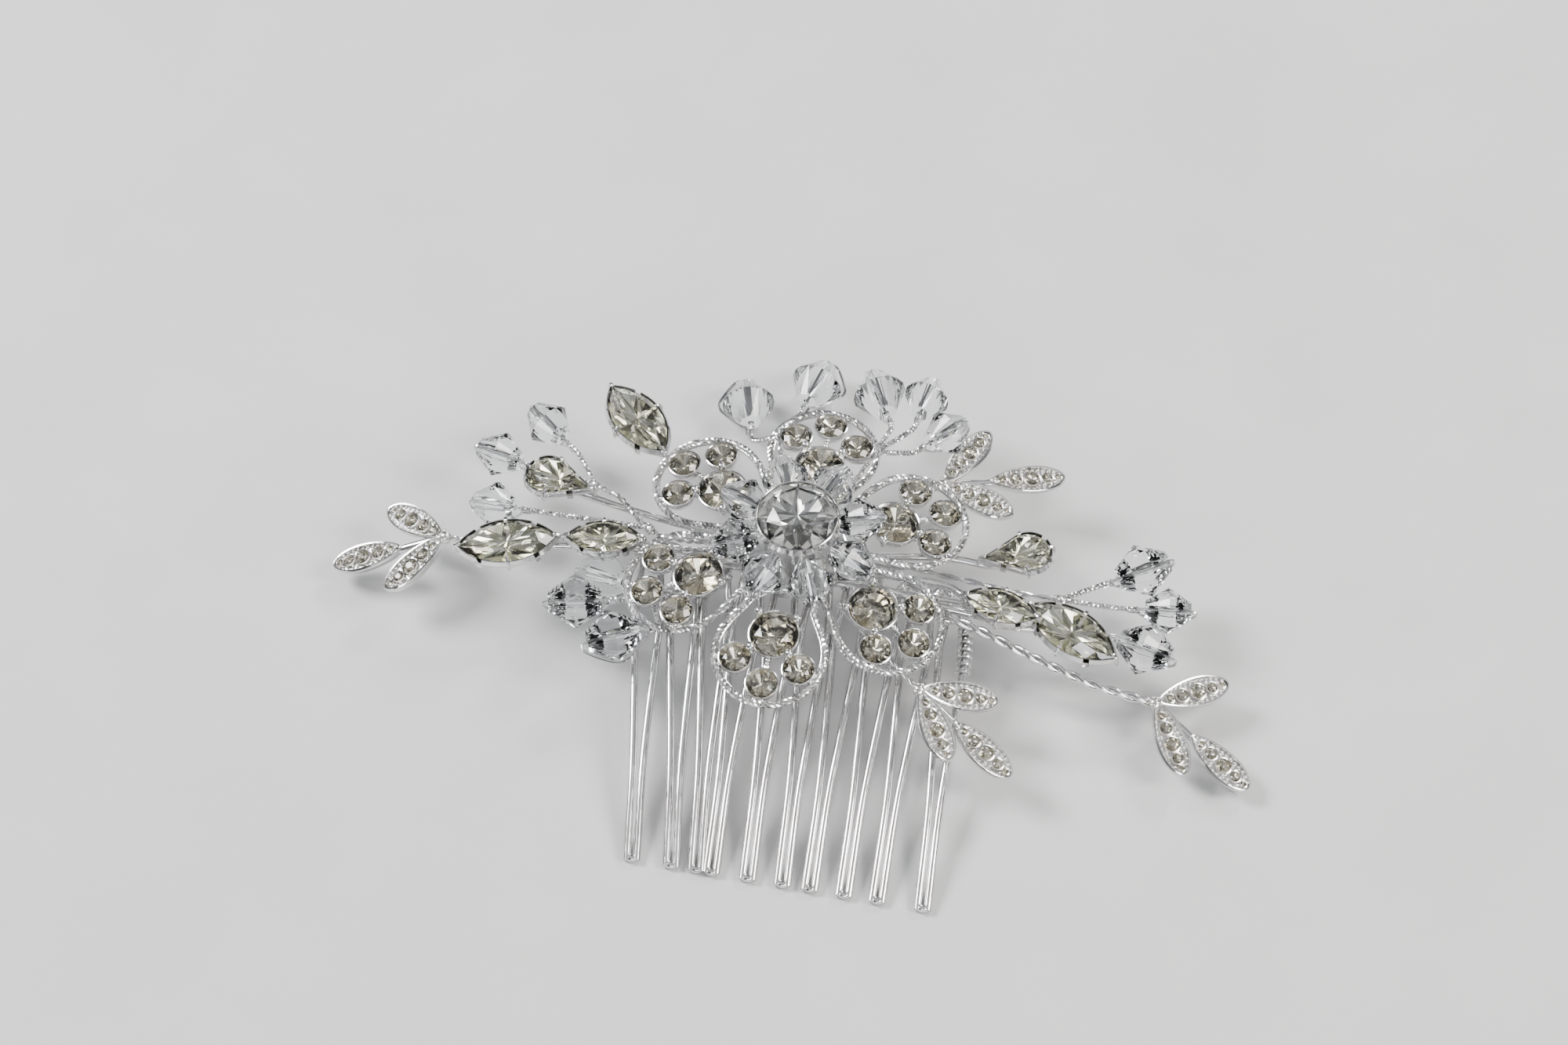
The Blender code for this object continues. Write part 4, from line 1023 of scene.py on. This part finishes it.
def add_sprays():
    for spray, plan in SPRAYS.items():
        fork = fork_place(spray)
        way = [*stem_way(plan), fork]
        shape = Shape(WIRE)
        shape.twisted(smooth_route(way, 8), TWIST_D, plan.get("lay", COARSE_LAY))
        knot(shape, fork, KNOT_D, (fork - way[-2]).normalized())
        for number, (size, _, azimuth, pitch, side, leaves) in enumerate(plan["beads"]):
            place = bead_place(spray, number)
            axis = direction(azimuth, pitch)
            name = f"bead_{spray}_{number + 1}"
            add_bead(name, BEAD_SIZES[size], place, axis, name)
            start = fork
            if leaves is not None:
                start = way[leaves + 1]
                knot(shape, start, KNOT_D, (way[leaves + 2] - start).normalized())
            bead_wire(shape, start, place, axis, BEAD_SIZES[size], side)
        shape.make(f"spray_{spray}_twisted_wire", "silver_wire", f"spray_wire_{spray}")


# -------- set stones

# Each stem: its trays, then its root and way points as a spray has them. Each tray: its stone, its shape, its
# place (azimuth and distance beyond the flower's edge), its height, its heading and its pitch. The stem is
# soldered under a tray at the given shares of the stone's length.
SETTINGS = {
    "left": {
        "trays": [
            ("left_inner", "small_marquise", (175.2, 1.9), 9.2, 179.0, 0.0),
            ("left_outer", "large_marquise", (177.6, 14.0), 9.0, 185.0, -3.0),
        ],
        "root": (181.5, 7.0),
        "way": [(178.0, -8.0, 8.8)],
    },
    "back_left": {
        "trays": [("back_left", "large_marquise", (135.0, 6.4), 8.6, 124.0, -2.0)],
        "root": (134.0, 5.0),
        "way": [(134.0, -6.0, 8.75)],
    },
    "right_inner": {
        "trays": [("right_inner", "small_marquise", (-18.0, 4.0), 9.3, -19.0, -3.0)],
        "root": (-12.0, 8.2),
        "way": [(-12.0, -3.5, 8.8)],
    },
    "right_outer": {
        "trays": [("right_outer", "large_marquise", (-17.6, 13.3), 7.5, -36.0, -3.0)],
        "root": (-23.0, 8.0),
        "way": [(-21.2, -3.5, 8.8), (-19.0, 1.5, 7.9), (-18.9, 5.5, 7.5)],
        "solder": (-0.12, 0.3),
    },
    "left_drop": {
        "trays": [("left_drop", "teardrop", (159.9, 9.6), 8.9, 158.0, -2.0)],
        "root": (157.0, 6.0),
        "way": [(160.5, -2.0, 8.8)],
    },
    "right_drop": {
        "trays": [("right_drop", "teardrop", (-0.6, 5.0), 8.9, 10.0, 0.0)],
        "root": (4.0, 7.6),
        "way": [(0.8, -4.0, 8.8)],
    },
}
# Each shape: its outline, the stone's size, and how far round its outline the wall is notched and clawed.
MARQUISE_NOTCHES, MARQUISE_CLAWS = (0.125, 0.375, 0.625, 0.875), (0.0, 0.25, 0.5, 0.75)
SHAPES = {
    "large_marquise": (marquise_outline, LARGE_MARQUISE, MARQUISE_NOTCHES, MARQUISE_CLAWS),
    "small_marquise": (marquise_outline, SMALL_MARQUISE, MARQUISE_NOTCHES, MARQUISE_CLAWS),
    "teardrop": (teardrop_outline, TEARDROP, (0.13, 0.42, 0.58, 0.87), (0.0, 0.27, 0.5, 0.73)),
}
SOLDER_SHARES = (-0.34, 0.22)
NOTCH_W = 0.75 * MM
NOTCH_DEEP = 0.85 * MM
RIM_W = 0.13 * MM


def add_tray(shape, kind, matrix):
    """A cast setting with a thin bright rim. Its wall is notched down where light is let in to the stone, and
    small claws are bent over the stone's edge."""
    draw, (length, width), notches, claws = SHAPES[kind]
    rim = 2 * (GAP + SETTING_WALL)
    lip = GAP + 2 * RIM_W
    outer, inner = outline(draw(length + rim, width + rim)), outline(draw(length + GAP, width + GAP))
    crest = outline(draw(length + lip, width + lip))
    floor, foot = outline(draw(length * 0.62, width * 0.52)), outline(draw(length * 0.72, width * 0.66))
    edge = sum((outer((k + 1) / 64) - outer(k / 64)).length for k in range(64))
    shares = {k / 96 for k in range(96)}
    half = NOTCH_W / edge / 2
    for notch in notches:
        shares |= {notch - half - 0.001, notch - half, notch + half, notch + half + 0.001}
    top = SETTING_DEPTH + 0.22 * MM

    def ring(at, grow, height=None, below=0.0):
        """One level of the tray. Without a height it keeps so far below the notched top of the wall."""
        made = []
        for share in sorted(shares):
            notched = any(abs(share - notch) <= half + 1e-6 for notch in notches)
            wall = top - (NOTCH_DEEP if notched else 0.0) - below
            corner = at(share)
            made.append(Vector((corner.x * grow, corner.y * grow, wall if height is None else height)))
        return made

    rings = [
        ring(foot, 1.0, 0.0),
        ring(outer, 0.97, SETTING_DEPTH * 0.55),
        ring(outer, 1.0, below=0.62 * MM),
        ring(crest, 1.0, below=0.04 * MM),
        ring(crest, 0.996),
        ring(inner, 1.0),
        ring(inner, 0.97, SETTING_DEPTH * 0.45),
        ring(floor, 1.0, SETTING_FLOOR),
    ]
    shape.loft(rings, matrix)
    for share in claws:
        at = outer(share)
        inward = -at.normalized()
        path = [at + UP * 0.7 * MM, at + UP * 1.6 * MM, at + inward * 0.25 * MM + UP * 2.1 * MM]
        path.append(at + inward * 0.8 * MM + UP * 2.3 * MM)
        shape.tube([matrix @ p for p in smooth_route(path, 3)], 0.5 * MM, 8)


def add_settings():
    for name, plan in SETTINGS.items():
        route = stem_way(plan)
        shape = Shape(PLATE)
        for stone, kind, (azimuth, distance), height, heading, pitch in plan["trays"]:
            draw, (length, width), _, _ = SHAPES[kind]
            matrix = frame_along(beyond(azimuth, distance * MM, height * MM), heading, pitch)
            add_tray(shape, kind, matrix)
            gem = Shape(STONE, *LEMON)
            girdle = SETTING_DEPTH + 0.02 * MM
            at_edge = outline(draw(length * 0.985, width * 0.985))
            depth = girdle - SETTING_FLOOR - GAP
            cut_stone(gem, at_edge, girdle, 0.10 * MM, 0.24 * width, depth, 0.60, 0.82, 0.34, matrix)
            gem.make(f"stone_{stone}_cut", "foiled_rhinestone", f"stone_{stone}", sharp=0)
            for share in plan.get("solder", SOLDER_SHARES):
                route.append(matrix @ Vector((length * share, 0.0, -STEM_D * 0.25)))
        shape.tube(smooth_route(route, 8), STEM_D, 14)
        shape.make(f"setting_{name}_casting", "silver_plate", f"setting_{name}")


# -------- leaf sprigs

# Each sprig: its hub beyond the flower's edge (azimuth, distance and height), or from the bead that it is
# beside, its middle leaf's heading and pitch, how far its side leaves are turned, and its wire.
SPRIGS = {
    "left": {
        "hub": (174.8, 22.1, 7.0),
        "heading": 183.0,
        "pitch": -22.0,
        "sides": (35.0, -39.0),
        "wire": TWIST_D,
        "root": (173.6, 9.2),
        "way": [(173.0, -6.0, 8.7), (171.6, -1.0, 8.3), (172.4, 3.0, 8.2), (175.0, 13.5, 7.6)],
    },
    "right": {
        "beside": ("right", 2),
        "hub": (-83.15, 3.421, 4.1),
        "heading": -43.0,
        "pitch": -13.0,
        "sides": (62.0, -28.0),
        "wire": HEAVY_TWIST_D,
        "root": (-34.5, 8.6),
        "way": [(-26.5, -4.5, 8.6), (-23.9, 0.4, 8.4), (-24.9, 9.9, 7.5), (-24.6, 18.5, 6.3)],
    },
    "front": {
        "hub": (-51.4, 1.3, 7.5),
        "heading": -44.0,
        "pitch": -12.0,
        "sides": (38.0, -25.0),
        "wire": TWIST_D,
        "root": (-52.0, 8.4),
        "way": [(-52.0, -8.0, 8.7)],
    },
    "back": {
        "hub": (33.0, -0.2, 6.6),
        "heading": 3.0,
        "pitch": 0.0,
        "sides": (49.0, -32.0),
        "wire": TWIST_D,
        "root": (30.0, 8.4),
        "way": [(31.0, -7.0, 8.6)],
    },
}
# This sprig's wire is part of its casting. The others' wires end a gap away from the knot of theirs.
SOLDERED_SPRIG = "back"
# The stones set along a leaf: how far along it, and their radius in mm. Rows of granules lie round them.
LEAF_STONES = [(0.17, 0.50), (0.34, 0.82), (0.56, 0.98), (0.76, 0.70), (0.90, 0.38)]
GRAIN_R = 0.24 * MM
GRAIN_ROWS = 14
HEAVY_LAY = 5.0 * MM


def leaf_edge(length, width, share):
    angle = 2 * pi * share
    bulge = sin(angle) * (1 - 0.22 * cos(angle)) * (0.75 + 0.25 * abs(sin(angle)))
    return Vector((length * (1 - cos(angle)) / 2, -width / 2 * bulge, 0))


def leaf_ring(length, width, z, shift=0.0, count=40):
    edge = [leaf_edge(length, width, k / count) for k in range(count)]
    return [Vector((p.x + shift, p.y, z)) for p in edge]


def add_leaf(shape, stones, matrix):
    """A cast leaf: a pan with a smooth raised rim, a row of set stones, and granules between them."""
    rim = 2 * LEAF_RIM
    length, width = LEAF_LENGTH - rim, LEAF_WIDTH - rim
    floor = LEAF_THICK - LEAF_RECESS
    rings = [
        leaf_ring(LEAF_LENGTH * 0.88, LEAF_WIDTH * 0.72, 0.0, LEAF_LENGTH * 0.06),
        leaf_ring(LEAF_LENGTH, LEAF_WIDTH, LEAF_THICK * 0.65),
        leaf_ring(LEAF_LENGTH, LEAF_WIDTH, LEAF_THICK - 0.12 * MM),
        leaf_ring(LEAF_LENGTH - 0.2 * MM, LEAF_WIDTH - 0.2 * MM, LEAF_THICK, 0.1 * MM),
        leaf_ring(LEAF_LENGTH - rim * 0.8, LEAF_WIDTH - rim * 0.8, LEAF_THICK - 0.04 * MM, LEAF_RIM * 0.8),
        leaf_ring(length, width, floor, LEAF_RIM),
    ]
    shape.loft(rings, matrix)
    seats = [(LEAF_LENGTH * share, radius * MM) for share, radius in LEAF_STONES]
    for x, radius in seats:
        bezel = [
            (radius * 0.98, floor + 0.42 * MM),
            (radius + 0.16 * MM, floor + 0.36 * MM),
            (radius + 0.2 * MM, floor - 0.1 * MM),
            (radius * 0.9, floor - 0.1 * MM),
        ]
        place = matrix @ Matrix.Translation((x, 0, 0))
        shape.lathe(bezel, 20, place, 1)
        at, girdle = round_at(radius * 0.96), floor + 0.22 * MM
        cut_stone(stones, at, girdle, 0.08 * MM, 0.32 * radius, 0.25 * MM, 0.5, matrix=place)
    for row in range(1, GRAIN_ROWS):
        x = LEAF_LENGTH * row / GRAIN_ROWS
        edge = leaf_edge(length, width, acos(1 - 2 * row / GRAIN_ROWS) / (2 * pi))
        y = min(abs(edge.y), LEAF_WIDTH / 2 - LEAF_RIM) - GRAIN_R * 0.8
        while y > 0:
            if all(hypot(x - seat, y) > radius + 0.22 * MM for seat, radius in seats):
                for side in (1, -1):
                    shape.ball(matrix @ Vector((x, side * y, floor + 0.08 * MM)), GRAIN_R, 1, 8)
            y -= GRAIN_R * 1.9


def hub_place(plan):
    azimuth, distance, height = plan["hub"]
    if "beside" not in plan:
        return beyond(azimuth, distance * MM, height * MM)
    hub = bead_place(*plan["beside"]) + polar(azimuth, LARGE_BEAD_D / 2 + distance * MM)
    hub.z = height * MM
    return hub


def add_sprigs():
    for name, plan in SPRIGS.items():
        matrix = frame_along(hub_place(plan), plan["heading"], plan["pitch"])
        middle = LEAF_THICK / 2
        knot_r = STALK_D * 0.75
        shape = Shape(PLATE, PAVE)
        stones = Shape(STONE, *CHAMPAGNE)
        add_leaf(shape, stones, matrix @ Matrix.Translation((STALK_LENGTH, 0, 0)))
        for angle in plan["sides"]:
            add_leaf(shape, stones, matrix @ turned(angle, "Z") @ Matrix.Translation((0.3 * MM, 0, 0)))
        start, steps = -knot_r * 0.4, 6
        run = STALK_LENGTH + 0.8 * MM + knot_r * 0.4
        stalk = [matrix @ Vector((start + run * k / steps, 0, middle)) for k in range(steps + 1)]
        shape.tube(stalk, STALK_D, 12)
        centre = matrix @ Vector((0, 0, middle))
        shape.ball(centre, knot_r * 1.05, 1)
        for k in range(7):
            grain = Vector((0, 0, middle)) + polar(51.4 * k, knot_r * 0.8, knot_r * 0.55)
            shape.ball(matrix @ grain, knot_r * 0.32, 1, 8)
        way = stem_way(plan)
        soldered = name == SOLDERED_SPRIG
        last = (centre - way[-1]).normalized()
        end = centre if soldered else centre - last * (knot_r + GAP)
        route = smooth_route([*way, end], 8)
        if soldered:
            shape.twisted(route, plan["wire"], COARSE_LAY)
        else:
            lay = HEAVY_LAY if plan["wire"] == HEAVY_TWIST_D else COARSE_LAY
            wire = Shape(WIRE)
            wire.twisted(route, plan["wire"], lay, sides=12)
            wire.make(f"sprig_{name}_twisted_wire", "silver_wire", f"sprig_wire_{name}")
        shape.make(f"leaf_sprig_{name}_casting", "silver_plate", f"leaf_sprig_{name}")
        stones.make(f"leaf_sprig_{name}_stones", "foiled_rhinestone", sharp=0)


# -------- floor, light and camera

FLOOR_SIZE = 1.6
# The world's tone from the horizon and below it (0) to straight above (1).
SKY = [
    (0.0, grey(0.15)),
    (0.25, grey(0.10)),
    (0.55, (0.28, 0.29, 0.31)),
    (0.82, (0.42, 0.43, 0.45)),
    (0.97, grey(0.9)),
]
SKY_STRENGTH = 0.9
# Each lamp faces the comb: its name, where it stands, its size, its power and its colour.
LAMPS = [
    ("key", (-0.50, 0.22, 0.50), (0.26, 0.26), 8.5, (1.0, 1.0, 1.0)),
    ("fill", (0.50, -0.10, 0.45), (0.18, 0.34), 4.5, (1.0, 0.96, 0.91)),
    ("front", (0.05, -0.60, 0.30), (0.50, 0.08), 2.2, (0.94, 0.97, 1.0)),
    ("back", (0.34, 0.42, 0.40), (0.12, 0.12), 2.0, (1.0, 1.0, 1.0)),
]
LENS = 85.0
SENSOR_WIDTH = 36.0
CAMERA_AIM = Vector((0.14, 9.66, 11.13)) * MM
CAMERA_ELEVATION = 57.0
CAMERA_DISTANCE = 470.0 * MM


def add_floor():
    made = bmesh.new()
    bmesh.ops.create_grid(made, x_segments=8, y_segments=8, size=FLOOR_SIZE)
    mesh = bpy.data.meshes.new("floor")
    made.to_mesh(mesh)
    made.free()
    finish, tree, shader = principled("pale_paper", {"Roughness": 0.85})
    drift(tree, shader, "Base Color", 40.0, 6.0, [(0.3, grey(0.57)), (0.7, grey(0.61))])
    mesh.materials.append(finish)
    floor = bpy.data.objects.new("floor", mesh)
    floor.location = (0.0, 0.0, -0.05 * MM)
    bpy.context.scene.collection.objects.link(floor)


def add_light(name, place, size, power, colour):
    light = bpy.data.lights.new(name, "AREA")
    light.shape = "RECTANGLE"
    light.size, light.size_y = size
    light.energy = power
    light.color = colour
    lamp = bpy.data.objects.new(name, light)
    lamp.location = place
    lamp.rotation_euler = (-Vector(place)).to_track_quat("-Z", "Y").to_euler()
    bpy.context.scene.collection.objects.link(lamp)


def add_studio():
    world = bpy.data.worlds.new("studio")
    bpy.context.scene.world = world
    world.use_nodes = True
    tree = world.node_tree
    back = tree.nodes["Background"]
    place = tree.nodes.new("ShaderNodeTexCoord")
    split = tree.nodes.new("ShaderNodeSeparateXYZ")
    tree.links.new(place.outputs["Generated"], split.inputs["Vector"])
    tree.links.new(ramp(tree, split.outputs["Z"], SKY), back.inputs["Color"])
    back.inputs["Strength"].default_value = SKY_STRENGTH
    for lamp in LAMPS:
        add_light(*lamp)


def add_camera():
    view = bpy.data.cameras.new("camera")
    view.lens = LENS
    view.sensor_width = SENSOR_WIDTH
    view.clip_start = 0.01
    camera = bpy.data.objects.new("camera", view)
    elevation = radians(CAMERA_ELEVATION)
    away = Vector((0.0, -cos(elevation), sin(elevation)))
    camera.location = CAMERA_AIM + away * CAMERA_DISTANCE
    camera.rotation_euler = (-away).to_track_quat("-Z", "Y").to_euler()
    bpy.context.scene.collection.objects.link(camera)
    bpy.context.scene.camera = camera


def main():
    add_camera()
    add_studio()
    add_floor()
    add_comb_teeth()
    add_comb_rail()
    add_lashing()
    add_base()
    add_petals()
    add_centre()
    add_centre_beads()
    add_sprays()
    add_settings()
    add_sprigs()


main()
